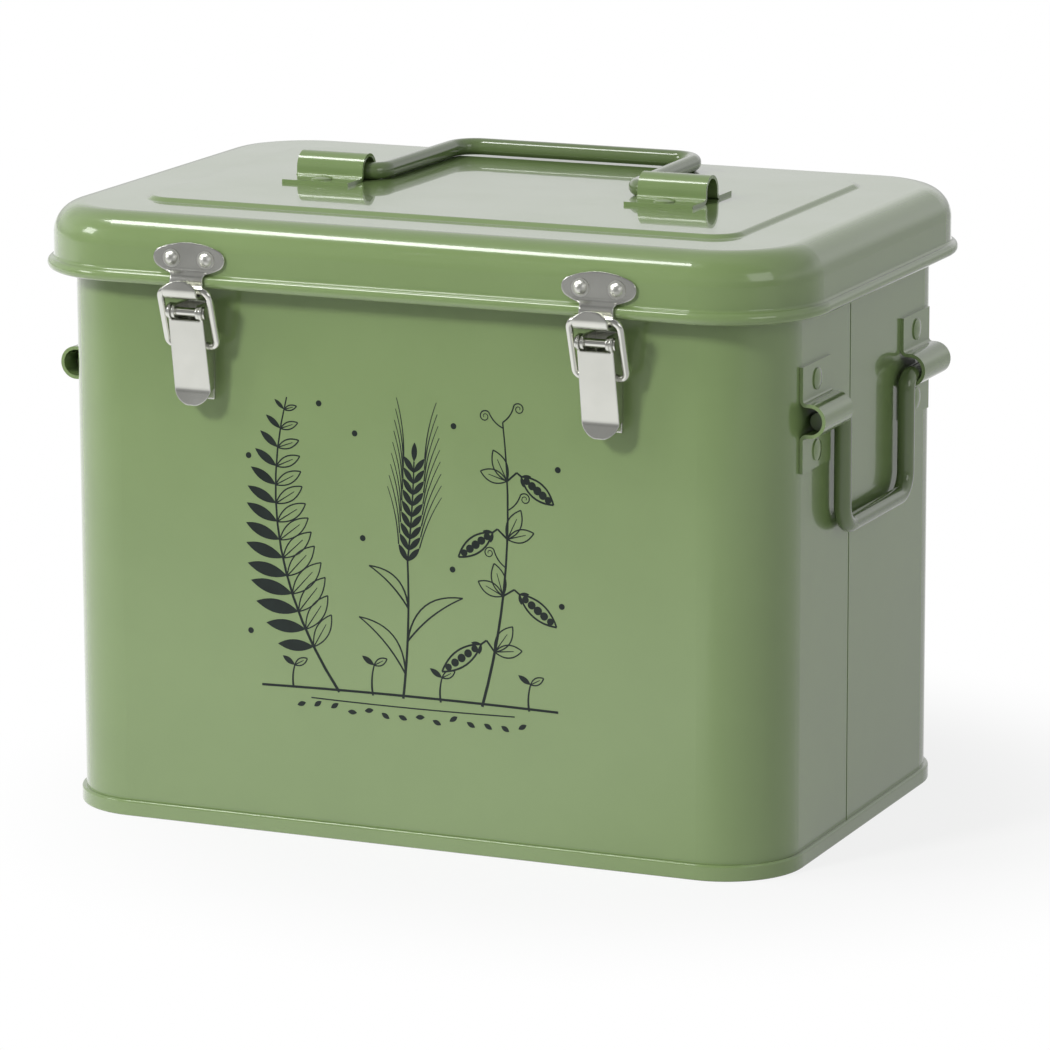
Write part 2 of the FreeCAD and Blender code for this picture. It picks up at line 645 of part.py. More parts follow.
def make_strike():
    """Riveted plate on the lid skirt that runs down over the bead into an upturned hook."""
    seat = LID_OVERHANG + STRIKE_SHEET / 2
    over = OVER_BEAD + STRIKE_SHEET / 2
    lip = over + HOOK_THROAT + STRIKE_SHEET
    jog_top = BEAD_Z + JOG_TOP
    jog_foot = BEAD_Z + JOG_FOOT
    floor = HOOK_Z - HOOK_THROAT / 2 - STRIKE_SHEET / 2
    top = STRIKE_Z + STRIKE_HEIGHT / 2 + 1
    points = [
        (seat, top), (seat, jog_top), (over, jog_foot),
        (over, floor), (lip, floor), (lip, HOOK_LIP_TOP),
    ]
    bend = HOOK_THROAT / 2 + STRIKE_SHEET / 2 - FOLD_SPARE
    strip = folded_sheet(points, [JOG_BEND, JOG_BEND, bend, bend], STRIKE_SHEET, STRIKE_LENGTH + 2)
    plate = strip.common(strike_outline())
    lip_cutter = hook_lip_outline(lip)
    plate = plate.cut(lip_cutter)
    holes = [drill(0, 2 * BEAD_OVERHANG, x, STRIKE_Z, STRIKE_RIVET_SHANK) for x in strike_rivet_places()]
    return plate.cut(group(holes))


def strike_rivet_places():
    return (-STRIKE_RIVET_PITCH / 2, STRIKE_RIVET_PITCH / 2)


def strike_outline():
    """Front view of the strike: an oval plate on a neck that widens to the hook."""
    deep = 3 * BEAD_OVERHANG
    oval = four_arc_oval(STRIKE_LENGTH, STRIKE_HEIGHT, STRIKE_END_RADIUS, STRIKE_Z)
    plate = Part.Face(oval).extrude(Vector(0, -deep, 0))
    low = HOOK_Z - HOOK_THROAT - STRIKE_SHEET
    half_neck = STRIKE_NECK / 2
    half_hook = HOOK_WIDTH / 2
    corners = [
        Vector(-half_neck, 0, STRIKE_Z), Vector(half_neck, 0, STRIKE_Z), Vector(half_hook, 0, HOOK_Z),
        Vector(half_hook, 0, low), Vector(-half_hook, 0, low), Vector(-half_hook, 0, HOOK_Z),
    ]
    neck = Part.Face(Part.makePolygon(corners + corners[:1])).extrude(Vector(0, -deep, 0))
    lip_block = Part.makeBox(
        HOOK_WIDTH, deep, HOOK_LIP_TOP - low,
        Vector(-half_hook, -deep - OVER_BEAD - STRIKE_SHEET - HOOK_THROAT / 2, low),
    )
    joined = plate.fuse(neck).Solids[0]
    armpits = [
        edge for edge in joined.Edges
        if edge.BoundBox.YLength > deep / 2
        and edge.BoundBox.XLength < NEAR
        and half_neck - NEAR < abs(edge.BoundBox.XMin) < half_hook - NEAR
    ]
    return joined.makeFillet(STRIKE_FILLET, armpits).fuse(lip_block)


def four_arc_oval(length, height, end_radius, z):
    """Closed oval in the plane y = 0: two flat arcs and two tight end arcs that meet smoothly."""
    end_x = length / 2 - end_radius
    spare = height / 2 - end_radius
    drop = (end_x ** 2 - spare ** 2) / (2 * spare)
    flat_radius = drop + height / 2
    reach = Vector(end_x, 0, drop).normalize() * flat_radius
    meet_x = reach.x
    meet_z = reach.z - drop
    edges = []
    for side in (-1, 1):
        ends = [Vector(-meet_x, 0, z + side * meet_z), Vector(meet_x, 0, z + side * meet_z)]
        edges.append(Part.Arc(ends[0], Vector(0, 0, z + side * height / 2), ends[1]).toShape())
        tight = [Vector(side * meet_x, 0, z - meet_z), Vector(side * meet_x, 0, z + meet_z)]
        edges.append(Part.Arc(tight[0], Vector(side * length / 2, 0, z), tight[1]).toShape())
    return Part.Wire(Part.__sortEdges__(edges))


def hook_lip_outline(lip_off):
    """What is cut away over the arched top of the hook's lip."""
    deep = 3 * STRIKE_SHEET
    half = HOOK_WIDTH / 2
    top = HOOK_LIP_TOP
    left = Vector(-half, 0, top - HOOK_LIP_CORNER)
    right = Vector(half, 0, top - HOOK_LIP_CORNER)
    crown = Part.Arc(left, Vector(0, 0, top), right).toShape()
    above = top + 1
    rest = Part.makePolygon([
        right, Vector(half + 1, 0, top - HOOK_LIP_CORNER), Vector(half + 1, 0, above),
        Vector(-half - 1, 0, above), Vector(-half - 1, 0, top - HOOK_LIP_CORNER), left,
    ])
    outline = Part.Wire(Part.__sortEdges__([crown] + rest.Edges))
    cutter = Part.Face(outline).extrude(Vector(0, -deep, 0))
    cutter.translate(Vector(0, -(lip_off - deep / 2), 0))
    return cutter


def make_strike_rivets():
    pair = []
    for x in strike_rivet_places():
        one = rivet(
            LID_OVERHANG + STRIKE_SHEET, LID_OVERHANG - SHEET,
            STRIKE_RIVET_HEAD, STRIKE_RIVET_RISE, STRIKE_RIVET_SHANK, STRIKE_RIVET_RING,
        )
        one.translate(Vector(x, 0, STRIKE_Z))
        pair.append(one)
    return pair


def make_loop():
    """Wire loop from the lever's pivots up to the bar that lies in the hook."""
    rise = math.hypot(loop_bar_z() - LOOP_PIVOT_Z, loop_bar_off() - LOOP_PIVOT_OFF)
    lean = math.degrees(math.atan2(loop_bar_off() - LOOP_PIVOT_OFF, loop_bar_z() - LOOP_PIVOT_Z))
    points = [
        (-LOOP_FOOT_REACH, 0), (-LOOP_HALF, 0), (-LOOP_HALF, rise),
        (LOOP_HALF, rise), (LOOP_HALF, 0), (LOOP_FOOT_REACH, 0),
    ]
    radii = [LOOP_FOOT_CORNER, LOOP_TOP_CORNER, LOOP_TOP_CORNER, LOOP_FOOT_CORNER]
    loop = bent_wire(points, radii, LOOP_RADIUS)
    loop.rotate(ORIGIN, X_AXIS, lean)
    loop.translate(Vector(0, -LOOP_PIVOT_OFF, LOOP_PIVOT_Z))
    return loop


def make_lever():
    """Channel pressed from sheet: a sloping face, two cheeks and a turned-out finger tip."""
    top = Vector(LEVER_FACE_TOP_OFF, LEVER_FACE_TOP_Z, 0)
    foot = Vector(LEVER_FACE_FOOT_OFF, LEVER_FACE_FOOT_Z, 0)
    along = (foot - top).normalize()
    inward = Vector(along.y, -along.x, 0)
    if inward.x > 0:
        inward = inward * -1
    turn = math.radians(LEVER_TIP_TURN)
    tip_way = Vector(
        along.x * math.cos(turn) - along.y * math.sin(turn),
        along.x * math.sin(turn) + along.y * math.cos(turn), 0,
    )
    tip = foot + tip_way * LEVER_TIP_LENGTH
    middle = inward * (LEVER_SHEET / 2)
    points = [(p.x, p.y) for p in (top + middle, foot + middle, tip + middle)]
    face = folded_sheet(points, [LEVER_TIP_BEND], LEVER_SHEET, LEVER_TIP_WIDTH)
    plan = lever_plan(tip)
    face = face.common(plan)
    pivot = Vector(PIVOT_OFF, PIVOT_Z, 0)
    cheek_side = [
        top, foot, foot + inward * LEVER_CHEEK_FOOT,
        Vector(LOOP_PIVOT_OFF, LOOP_PIVOT_Z, 0) + inward * (LOOP_RADIUS + LEVER_LOOP_EDGE),
        pivot + inward * LEVER_EAR_RADIUS,
    ]
    cheek_face = Part.Face(Part.makePolygon([Vector(0, -p.x, p.y) for p in cheek_side + cheek_side[:1]]))
    ear = Part.makeCylinder(LEVER_EAR_RADIUS, LEVER_TIP_WIDTH, Vector(0, -PIVOT_OFF, PIVOT_Z), X_AXIS)
    neck_side = [top, pivot + inward * LEVER_EAR_RADIUS, pivot - inward * LEVER_EAR_RADIUS]
    neck_face = Part.Face(Part.makePolygon([Vector(0, -p.x, p.y) for p in neck_side + neck_side[:1]]))
    cheeks = cheek_face.extrude(Vector(LEVER_TIP_WIDTH, 0, 0))
    cheeks = cheeks.fuse(ear).fuse(neck_face.extrude(Vector(LEVER_TIP_WIDTH, 0, 0)))
    cheeks.translate(Vector(-LEVER_TIP_WIDTH / 2, 0, 0))
    cheeks = cheeks.common(plan).cut(lever_plan(tip, LEVER_SHEET))
    lever = face.fuse(cheeks).removeSplitter()
    pivot_hole = rod(0, PIVOT_OFF, PIVOT_Z, PIN_RADIUS + FIT_GAP, 2 * LEVER_WIDTH)
    loop_hole = rod(0, LOOP_PIVOT_OFF, LOOP_PIVOT_Z, LOOP_RADIUS + FIT_GAP, 2 * LEVER_WIDTH)
    return lever.cut(pivot_hole).cut(loop_hole)


def lever_plan(tip, inset=0.0):
    """Front view of the lever: sides that widen to the foot and a rounded tip."""
    deep = 3 * BEAD_OVERHANG
    top_half = LEVER_WIDTH / 2 - inset
    foot_half = LEVER_TIP_WIDTH / 2 - inset
    high = PIVOT_Z + LEVER_EAR_RADIUS + 1
    low = LEVER_FACE_FOOT_Z
    left = Vector(-foot_half, 0, low)
    right = Vector(foot_half, 0, low)
    bottom = Vector(0, 0, tip.y)
    arc = Part.Arc(left, bottom, right).toShape()
    sides = Part.makePolygon([right, Vector(top_half, 0, high), Vector(-top_half, 0, high), left])
    outline = Part.Wire(Part.__sortEdges__([arc] + sides.Edges))
    return Part.Face(outline).extrude(Vector(0, -deep, 0))


def latch_base_outer_half():
    """Half the width over the base's ears, inside the lever's cheeks."""
    return LEVER_WIDTH / 2 - LEVER_SHEET - LATCH_BASE_GAP


def make_latch_base():
    """Folded bracket on the wall: a back plate and two ears that carry the lever's pivot."""
    half = latch_base_outer_half()
    ear_top = PIVOT_Z + LATCH_BASE_EAR
    back = Part.makeBox(
        2 * half, LATCH_BASE_SHEET, ear_top - LATCH_BASE_FOOT_Z,
        Vector(-half, -LATCH_BASE_SHEET, LATCH_BASE_FOOT_Z),
    )
    ear_low = PIVOT_Z - 2 * LATCH_BASE_EAR
    outline = Part.makePolygon([
        Vector(0, 0, ear_low - LATCH_BASE_EAR_SPREAD), Vector(0, -PIVOT_OFF, PIVOT_Z - LATCH_BASE_EAR),
        Vector(0, -PIVOT_OFF, ear_top), Vector(0, 0, ear_top), Vector(0, 0, ear_low - LATCH_BASE_EAR_SPREAD),
    ])
    ear = Part.Face(outline).extrude(Vector(LATCH_BASE_SHEET, 0, 0))
    nose = Part.makeCylinder(LATCH_BASE_EAR, LATCH_BASE_SHEET, Vector(0, -PIVOT_OFF, PIVOT_Z), X_AXIS)
    ear = ear.fuse(nose)
    left = ear.translated(Vector(-half, 0, 0))
    right = ear.translated(Vector(half - LATCH_BASE_SHEET, 0, 0))
    base = back.fuse(left).fuse(right)
    base = base.cut(rod(0, PIVOT_OFF, PIVOT_Z, PIN_RADIUS, 4 * half)).removeSplitter()
    return base.cut(group(latch_base_holes()))


def latch_base_holes():
    deep = 2 * LATCH_BASE_SHEET
    return [drill(-2 * SHEET, deep, 0, z, LATCH_RIVET_SHANK) for z in LATCH_BASE_RIVET_Z]


def make_latch_base_rivets():
    pair = []
    for z in LATCH_BASE_RIVET_Z:
        one = rivet(LATCH_BASE_SHEET, -SHEET, LATCH_RIVET_HEAD, LATCH_RIVET_RISE, LATCH_RIVET_SHANK)
        one.translate(Vector(0, 0, z))
        pair.append(one)
    return pair


def make_latch_pin():
    """Pin with a peened head outside each of the lever's cheeks."""
    shank = LEVER_WIDTH + 4 * FIT_GAP
    pin = rod(0, PIVOT_OFF, PIVOT_Z, PIN_RADIUS, shank)
    for side in (-1, 1):
        centre = side * (shank + PIN_HEAD) / 2
        pin = pin.fuse(rod(centre, PIVOT_OFF, PIVOT_Z, PIN_HEAD_RADIUS, PIN_HEAD))
    return pin.removeSplitter()


# ---- hinges ----------------------------------------------------------------------------------
def hinge_off():
    """Distance of the hinge pin outside the wall."""
    return OVER_BEAD + HINGE_KNUCKLE_RADIUS


def knuckle_spans(mine):
    """Start and end along X of this leaf's knuckles; mine is 0 or 1."""
    pitch = HINGE_WIDTH / HINGE_KNUCKLES
    spans = []
    for index in range(HINGE_KNUCKLES):
        if index % 2 == mine:
            low = -HINGE_WIDTH / 2 + index * pitch
            trim_low = 0.0 if index == 0 else HINGE_KNUCKLE_GAP / 2
            trim_high = 0.0 if index == HINGE_KNUCKLES - 1 else HINGE_KNUCKLE_GAP / 2
            spans.append((low + trim_low, low + pitch - trim_high))
    return spans


def make_hinge_leaf(points, radii, mine, rivet_z, pin_clearance):
    """Leaf folded from sheet whose last run ends beside the pin, with its rolled knuckles."""
    leaf = folded_sheet(points, radii, HINGE_SHEET, HINGE_WIDTH)
    knuckle_zone = HINGE_KNUCKLE_RADIUS + HINGE_KNUCKLE_GAP
    other = []
    for low, high in knuckle_spans(1 - mine):
        corner = Vector(
            low - HINGE_KNUCKLE_GAP / 2, -hinge_off() - 2 * HINGE_KNUCKLE_RADIUS, HINGE_Z - knuckle_zone
        )
        other.append(Part.makeBox(
            high - low + HINGE_KNUCKLE_GAP, 4 * HINGE_KNUCKLE_RADIUS, 2 * knuckle_zone, corner
        ))
    leaf = leaf.cut(group(other))
    for low, high in knuckle_spans(mine):
        leaf = leaf.fuse(rod((low + high) / 2, hinge_off(), HINGE_Z, HINGE_KNUCKLE_RADIUS, high - low))
    leaf = leaf.cut(rod(0, hinge_off(), HINGE_Z, HINGE_PIN_RADIUS + pin_clearance, 2 * HINGE_WIDTH))
    deep = 2 * BEAD_OVERHANG
    holes = [drill(-2 * SHEET, deep, x, rivet_z, HINGE_RIVET_SHANK) for x in hinge_rivet_places()]
    return leaf.cut(group(holes)).removeSplitter()


def hinge_rivet_places():
    return (-HINGE_RIVET_PITCH / 2, HINGE_RIVET_PITCH / 2)


def make_hinge_lid_leaf():
    seat = LID_OVERHANG + HINGE_SHEET / 2
    over = OVER_BEAD + HINGE_SHEET / 2
    points = [
        (seat, HINGE_LID_LEAF_TOP), (seat, BEAD_Z + JOG_TOP),
        (over, BEAD_Z + JOG_FOOT), (over, HINGE_Z),
    ]
    return make_hinge_leaf(points, [JOG_BEND, JOG_BEND], 1, HINGE_LID_RIVET_Z, FIT_GAP)


def make_hinge_body_leaf():
    seat = HINGE_SHEET / 2
    over = OVER_BEAD + HINGE_SHEET / 2
    jog_end = HINGE_JOG_Z + (over - seat)
    points = [(seat, HINGE_BODY_LEAF_FOOT), (seat, HINGE_JOG_Z), (over, jog_end), (over, HINGE_Z)]
    return make_hinge_leaf(points, [HINGE_BEND, HINGE_BEND], 0, HINGE_BODY_RIVET_Z, 0.0)


def make_hinge_pin():
    return rod(0, hinge_off(), HINGE_Z, HINGE_PIN_RADIUS, HINGE_WIDTH)


def hinge_rivets(outer_off, inner_off, z):
    pair = []
    for x in hinge_rivet_places():
        one = rivet(outer_off, inner_off, HINGE_RIVET_HEAD, HINGE_RIVET_RISE, HINGE_RIVET_SHANK)
        one.translate(Vector(x, 0, z))
        pair.append(one)
    return pair


# ---- holes in the wall and the lid -----------------------------------------------------------
def wall_holes():
    cutters = []
    for y in side_saddle_places():
        for hole in saddle_holes(SIDE_SADDLE_Z):
            cutters.append(on_right(hole, y))
            cutters.append(on_left(hole, y))
    for x in (-LATCH_X, LATCH_X):
        for hole in latch_base_holes():
            cutters.append(on_front(hole, x))
    for x in (-HINGE_X, HINGE_X):
        for place in hinge_rivet_places():
            hole = drill(-2 * SHEET, SHEET, place, HINGE_BODY_RIVET_Z, HINGE_RIVET_SHANK)
            cutters.append(on_back(hole, x))
    return cutters


def lid_holes():
    cutters = []
    skirt = (LID_OVERHANG - 2 * SHEET, LID_OVERHANG + SHEET)
    for x in (-LATCH_X, LATCH_X):
        for place in strike_rivet_places():
            cutters.append(on_front(drill(*skirt, place, STRIKE_Z, STRIKE_RIVET_SHANK), x))
    for x in (-HINGE_X, HINGE_X):
        for place in hinge_rivet_places():
            cutters.append(on_back(drill(*skirt, place, HINGE_LID_RIVET_Z, HINGE_RIVET_SHANK), x))
    for x in lid_saddle_places():
        for hole in saddle_holes(0.0):
            cutters.append(on_lid(hole, x))
    return cutters


# ---- all the pieces --------------------------------------------------------------------------
def build():
    nodes = {}
    nodes["body_wall"] = make_body_wall(wall_holes())
    nodes["base_pan"] = make_base_pan()
    nodes["lid_shell"] = make_lid_shell(lid_holes())

    side_saddle = make_saddle(SIDE_SADDLE_LENGTH)
    side_saddle.translate(Vector(0, 0, SIDE_SADDLE_Z))
    front_y, rear_y = side_saddle_places()
    for side, place in (("right", on_right), ("left", on_left)):
        nodes[side + "_saddle_front"] = place(side_saddle, front_y)
        nodes[side + "_saddle_rear"] = place(side_saddle, rear_y)
        rivets = saddle_rivets(SIDE_SADDLE_Z)
        nodes[side + "_saddle_rivets"] = group(
            [place(one, y) for y in (front_y, rear_y) for one in rivets]
        )
        nodes[side + "_handle"] = place(make_side_handle())

    lid_saddle = make_saddle(LID_SADDLE_LENGTH)
    left_x, right_x = lid_saddle_places()
    nodes["lid_saddle_left"] = on_lid(lid_saddle, left_x)
    nodes["lid_saddle_right"] = on_lid(lid_saddle, right_x)
    nodes["lid_saddle_rivets"] = group(
        [on_lid(one, x) for x in (left_x, right_x) for one in saddle_rivets(0.0)]
    )
    nodes["lid_handle"] = on_lid(make_lid_handle())

    for side, x in (("left", -LATCH_X), ("right", LATCH_X)):
        nodes["strike_" + side] = on_front(make_strike(), x)
        nodes["strike_rivets_" + side] = group([on_front(one, x) for one in make_strike_rivets()])
        nodes["latch_base_" + side] = on_front(make_latch_base(), x)
        nodes["latch_base_rivets_" + side] = group(
            [on_front(one, x) for one in make_latch_base_rivets()]
        )
        nodes["latch_pin_" + side] = on_front(make_latch_pin(), x)
        nodes["latch_lever_" + side] = on_front(make_lever(), x)
        nodes["latch_loop_" + side] = on_front(make_loop(), x)

    body_rivets = hinge_rivets(HINGE_SHEET, -SHEET, HINGE_BODY_RIVET_Z)
    lid_rivets = hinge_rivets(LID_OVERHANG + HINGE_SHEET, LID_OVERHANG - SHEET, HINGE_LID_RIVET_Z)
    for side, x in (("left", -HINGE_X), ("right", HINGE_X)):
        nodes["hinge_body_leaf_" + side] = on_back(make_hinge_body_leaf(), x)
        nodes["hinge_lid_leaf_" + side] = on_back(make_hinge_lid_leaf(), x)
        nodes["hinge_pin_" + side] = on_back(make_hinge_pin(), x)
    places = (-HINGE_X, HINGE_X)
    nodes["hinge_body_rivets"] = group([on_back(one, x) for x in places for one in body_rivets])
    nodes["hinge_lid_rivets"] = group([on_back(one, x) for x in places for one in lid_rivets])
    return nodes


def main():
    os.makedirs("parts", exist_ok=True)
    for name, shape in build().items():
        shape.exportStep("parts/" + name + ".step")
        volume = sum(solid.Volume for solid in shape.Solids)
        print(f"{name:26s} {len(shape.Solids)} solid(s)  {volume:10.1f} mm3  valid {shape.isValid()}")


main()
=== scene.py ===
# %% [markdown]
# # A latched steel storage tin
# The tin is pressed from thin steel sheet and dipped in glossy green enamel. Its moving fittings, which are
# the two toggle latches and three wire handles, are packed with the solids. This lesson leaves every solid
# where it is and gives it a finish, adds the printed design on the front, and lights the whole for a picture.

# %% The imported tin
import json
import math
import random
import bmesh
import bpy
from mathutils import Matrix, Vector


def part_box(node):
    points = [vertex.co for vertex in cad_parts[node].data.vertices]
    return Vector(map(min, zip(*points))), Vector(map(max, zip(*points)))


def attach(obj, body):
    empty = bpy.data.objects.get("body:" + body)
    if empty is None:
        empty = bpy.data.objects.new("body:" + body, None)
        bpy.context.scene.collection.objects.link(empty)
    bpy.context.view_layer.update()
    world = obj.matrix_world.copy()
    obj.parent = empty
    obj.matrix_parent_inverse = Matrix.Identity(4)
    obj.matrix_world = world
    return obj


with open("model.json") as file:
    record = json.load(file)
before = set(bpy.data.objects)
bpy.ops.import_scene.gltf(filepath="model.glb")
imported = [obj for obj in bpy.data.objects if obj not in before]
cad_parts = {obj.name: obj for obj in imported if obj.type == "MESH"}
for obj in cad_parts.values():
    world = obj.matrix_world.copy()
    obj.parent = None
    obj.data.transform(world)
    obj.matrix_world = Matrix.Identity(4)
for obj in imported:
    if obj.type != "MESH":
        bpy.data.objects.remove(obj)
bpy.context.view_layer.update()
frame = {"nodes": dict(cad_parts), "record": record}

NODES = frame["nodes"]

# %% [markdown]
# ## A small kit for node materials
# A finish is a chain of nodes. Three short helpers keep each finish readable: one makes the material and its
# shader, one adds a node and sets its inputs, and one joins two sockets. Numbers that are the same all over a
# surface are written on the shader's own sockets, where an export can find them.

# %% Helpers for nodes
def new_finish(name, **sockets):
    """A material with one Principled shader; returns the material, its tree and the shader."""
    finish = bpy.data.materials.new(name)
    finish.use_nodes = True
    tree = finish.node_tree
    shader = tree.nodes["Principled BSDF"]
    for socket, value in sockets.items():
        shader.inputs[socket.replace("_", " ")].default_value = value
    return finish, tree, shader


def add_node(tree, kind, inputs=None, **settings):
    """Adds a node, sets its own settings and the values of its inputs."""
    node = tree.nodes.new(kind)
    for setting, value in settings.items():
        setattr(node, setting, value)
    for socket, value in (inputs or {}).items():
        node.inputs[socket].default_value = value
    return node


def join(tree, source, output, target, socket):
    """Links one node's output to another node's input."""
    tree.links.new(source.outputs[output], target.inputs[socket])


print("node helpers are ready")

# %% [markdown]
# No real surface is the same all over, and most of that is a soft noise in one of three places: the colour,
# the gloss, or the height of the surface. The noise is measured in metres on the tin, so that its blotches
# keep their real size on every solid. Four more helpers make the noise and lead it to those places.

# %% Helpers for surfaces
NOISE_LOW, NOISE_HIGH = 0.3, 0.7        # nearly all of a noise lies between these


def surface_noise(tree, size, detail=3.0):
    """Noise in the tin's own metres whose blotches are about this many metres across."""
    place = add_node(tree, "ShaderNodeTexCoord")
    noise = add_node(tree, "ShaderNodeTexNoise", {"Scale": 1 / size, "Detail": detail})
    join(tree, place, "Object", noise, "Vector")
    return noise


def blend_of(tree, factor, low_colour, high_colour, low=NOISE_LOW, high=NOISE_HIGH):
    """Colour ramp from one colour to another between two values of a noise."""
    ramp = add_node(tree, "ShaderNodeValToRGB")
    ramp.color_ramp.elements[0].position = low
    ramp.color_ramp.elements[1].position = high
    ramp.color_ramp.elements[0].color = (*low_colour, 1)
    ramp.color_ramp.elements[1].color = (*high_colour, 1)
    join(tree, factor, "Fac", ramp, "Fac")
    return ramp


def range_of(tree, factor, low, high):
    """Number that a noise moves between low and high."""
    spread = add_node(tree, "ShaderNodeMapRange", {
        "From Min": NOISE_LOW, "From Max": NOISE_HIGH, "To Min": low, "To Max": high,
    })
    join(tree, factor, "Fac", spread, "Value")
    return spread


def raised_by(tree, shader, noises, socket="Normal", under=None):
    """Chains bumps, each a noise with a height in metres, into the shader's normal."""
    previous = under
    for noise, height in noises:
        bump = add_node(tree, "ShaderNodeBump", {"Distance": height, "Strength": 1.0})
        join(tree, noise, "Fac", bump, "Height")
        if previous is not None:
            join(tree, previous, "Normal", bump, "Normal")
        previous = bump
    join(tree, previous, "Normal", shader, socket)


print("noise is used from", NOISE_LOW, "to", NOISE_HIGH)

# %% [markdown]
# ## Green enamel
# Stoved enamel is a coloured layer under a clear, hard gloss. The colour hardly changes over a panel. What
# gives it away as sheet metal is its surface: a very fine ripple like orange peel, a few millimetres across,
# over a slow waviness of the sheet itself. Both bend the reflections, so both are bumps and not colours. The
# bent wires take the same recipe with a finer ripple, and their green is painted darker: painted shade that
# gives the round wires their deeper look.

# %% The enamels
ENAMEL_DARK = (0.208, 0.298, 0.114)
ENAMEL_LIGHT = (0.218, 0.310, 0.120)
CLOUD_SIZE = 0.03
CLOUD_EDGES = (0.35, 0.65)
ENAMEL_HAZE = (0.18, 0.26)
SHEET_WAVE_SIZE = 0.05


def make_enamel(name, ripple_size, ripple_height, sheet_wave, painted_shade_factor=1.0):
    """Glossy enamel with a fine ripple over the sheet's own waviness; a factor below one paints darker, as
    painted shade.
    """
    finish, tree, shader = new_finish(
        name, Roughness=0.22, IOR=1.5, Coat_Weight=1.0, Coat_Roughness=0.03, Coat_IOR=1.5,
    )
    clouds = surface_noise(tree, CLOUD_SIZE)
    ripple = surface_noise(tree, ripple_size, detail=2.0)
    wave = surface_noise(tree, SHEET_WAVE_SIZE, detail=1.0)
    # both greens are multiplied by the factor, so a factor below one is painted shade
    tones = [[part * painted_shade_factor for part in tone] for tone in (ENAMEL_DARK, ENAMEL_LIGHT)]
    colour = blend_of(tree, clouds, *tones, *CLOUD_EDGES)
    join(tree, colour, "Color", shader, "Base Color")
    roughness = range_of(tree, clouds, *ENAMEL_HAZE)
    join(tree, roughness, "Result", shader, "Roughness")
    for socket in ("Normal", "Coat Normal"):
        raised_by(tree, shader, [(wave, sheet_wave), (ripple, ripple_height)], socket)
    return finish


SHEET_ENAMEL = make_enamel("sheet_enamel", ripple_size=0.0022, ripple_height=0.000003, sheet_wave=0.00009)
# the wires' green is painted darker by the factor 0.62: painted shade for the round wires
WIRE_ENAMEL_PAINTED_DARKER = make_enamel(
    "wire_enamel_painted_darker", ripple_size=0.0015, ripple_height=0.000002, sheet_wave=0.00002, painted_shade_factor=0.62,
)
print("enamels:", SHEET_ENAMEL.name, WIRE_ENAMEL_PAINTED_DARKER.name)

# %% [markdown]
# ## Bright nickel
# The latches are plated: a metal with a little haze. The plate is stamped and tumbled, so its haze comes in
# soft patches, and very fine scratches lie all over it. A metal has no colour under its gloss, so the warm
# grey is the colour of the reflection itself. Tumbling also breaks the sharp edges, and the narrow rounding
# that it leaves catches the light as a bright rim. A bevel node bends the shading there and leaves the solid
# alone. Round wire and rivet heads have no such edges, and rivets are hazier, because they are hammered.

# %% The plating
NICKEL_DARK = (0.70, 0.705, 0.65)
NICKEL_LIGHT = (0.77, 0.775, 0.72)
BROKEN_EDGE = 0.00055
PATCH_SIZE = 0.009
DENT_SIZE = 0.006
SCRATCH_SIZE, SCRATCH_HEIGHT = 0.0005, 0.000001


def make_nickel(name, haze, dent_height, sheared=False):
    """Nickel plate whose roughness wanders between two values; sheared sheet gets rounded edges."""
    finish, tree, shader = new_finish(name, Metallic=1.0, Roughness=0.2)
    patches = surface_noise(tree, PATCH_SIZE, detail=2.0)
    colour = blend_of(tree, patches, NICKEL_DARK, NICKEL_LIGHT)
    join(tree, colour, "Color", shader, "Base Color")
    roughness = range_of(tree, patches, *haze)
    join(tree, roughness, "Result", shader, "Roughness")
    dents = surface_noise(tree, DENT_SIZE, detail=1.0)
    scratches = surface_noise(tree, SCRATCH_SIZE)
    edges = None
    if sheared:
        edges = add_node(tree, "ShaderNodeBevel", {"Radius": BROKEN_EDGE}, samples=6)
    raised_by(tree, shader, [(dents, dent_height), (scratches, SCRATCH_HEIGHT)], under=edges)
    return finish


PLATE_NICKEL = make_nickel("plate_nickel", haze=(0.20, 0.27), dent_height=0.00004, sheared=True)
WIRE_NICKEL = make_nickel("wire_nickel", haze=(0.05, 0.09), dent_height=0.00001)
RIVET_NICKEL = make_nickel("rivet_nickel", haze=(0.36, 0.42), dent_height=0.000002)
print("platings:", PLATE_NICKEL.name, WIRE_NICKEL.name, RIVET_NICKEL.name)

# %% [markdown]
# ## Giving each solid its finish
# The record already sorts the solids by finish, so the loop reads the slot of each one. Among the plated
# solids, the rivets and the round wires and pins get their own plating.

# %% Finishes on the solids
slot_of = {entry["node"]: entry["material_slot"] for entry in frame["record"]["subparts"]}
FINISHES = {
    "green_enamel": SHEET_ENAMEL,
    "hinge_enamel": SHEET_ENAMEL,
    "handle_enamel": WIRE_ENAMEL_PAINTED_DARKER,
    "latch_nickel": PLATE_NICKEL,
}


def finish_of(node_name):
    """The finish of one solid, from its slot and its name."""
    if slot_of[node_name] == "latch_nickel":
        if "rivets" in node_name:
            return RIVET_NICKEL
        if node_name.startswith(("latch_loop", "latch_pin")):
            return WIRE_NICKEL
    return FINISHES[slot_of[node_name]]


for node_name, solid in NODES.items():
    if not solid.data.materials:
        solid.data.materials.append(None)
    for index in range(len(solid.material_slots)):
        solid.material_slots[index].material = finish_of(node_name)
print("finished solids:", len(NODES))

# %% [markdown]
# ## The printed design
# The front carries a line drawing in dark ink, put on through a screen. Ink lies on the enamel as a thin
# film, so it is built as one: flat shapes a few hundredths of a millimetre proud of the wall, which stay
# crisp from any distance and need no picture. The drawing has its own flat sheet of paper, with its middle
# at the middle of the front and millimetres for units. A pen stroke on it is a band that may run thinner
# towards its end, a leaf is two bowed strokes, and a seed is the same outline filled in. Where two shapes
# cross, they would lie in one plane and flicker, so each is laid a hair above the one before it.

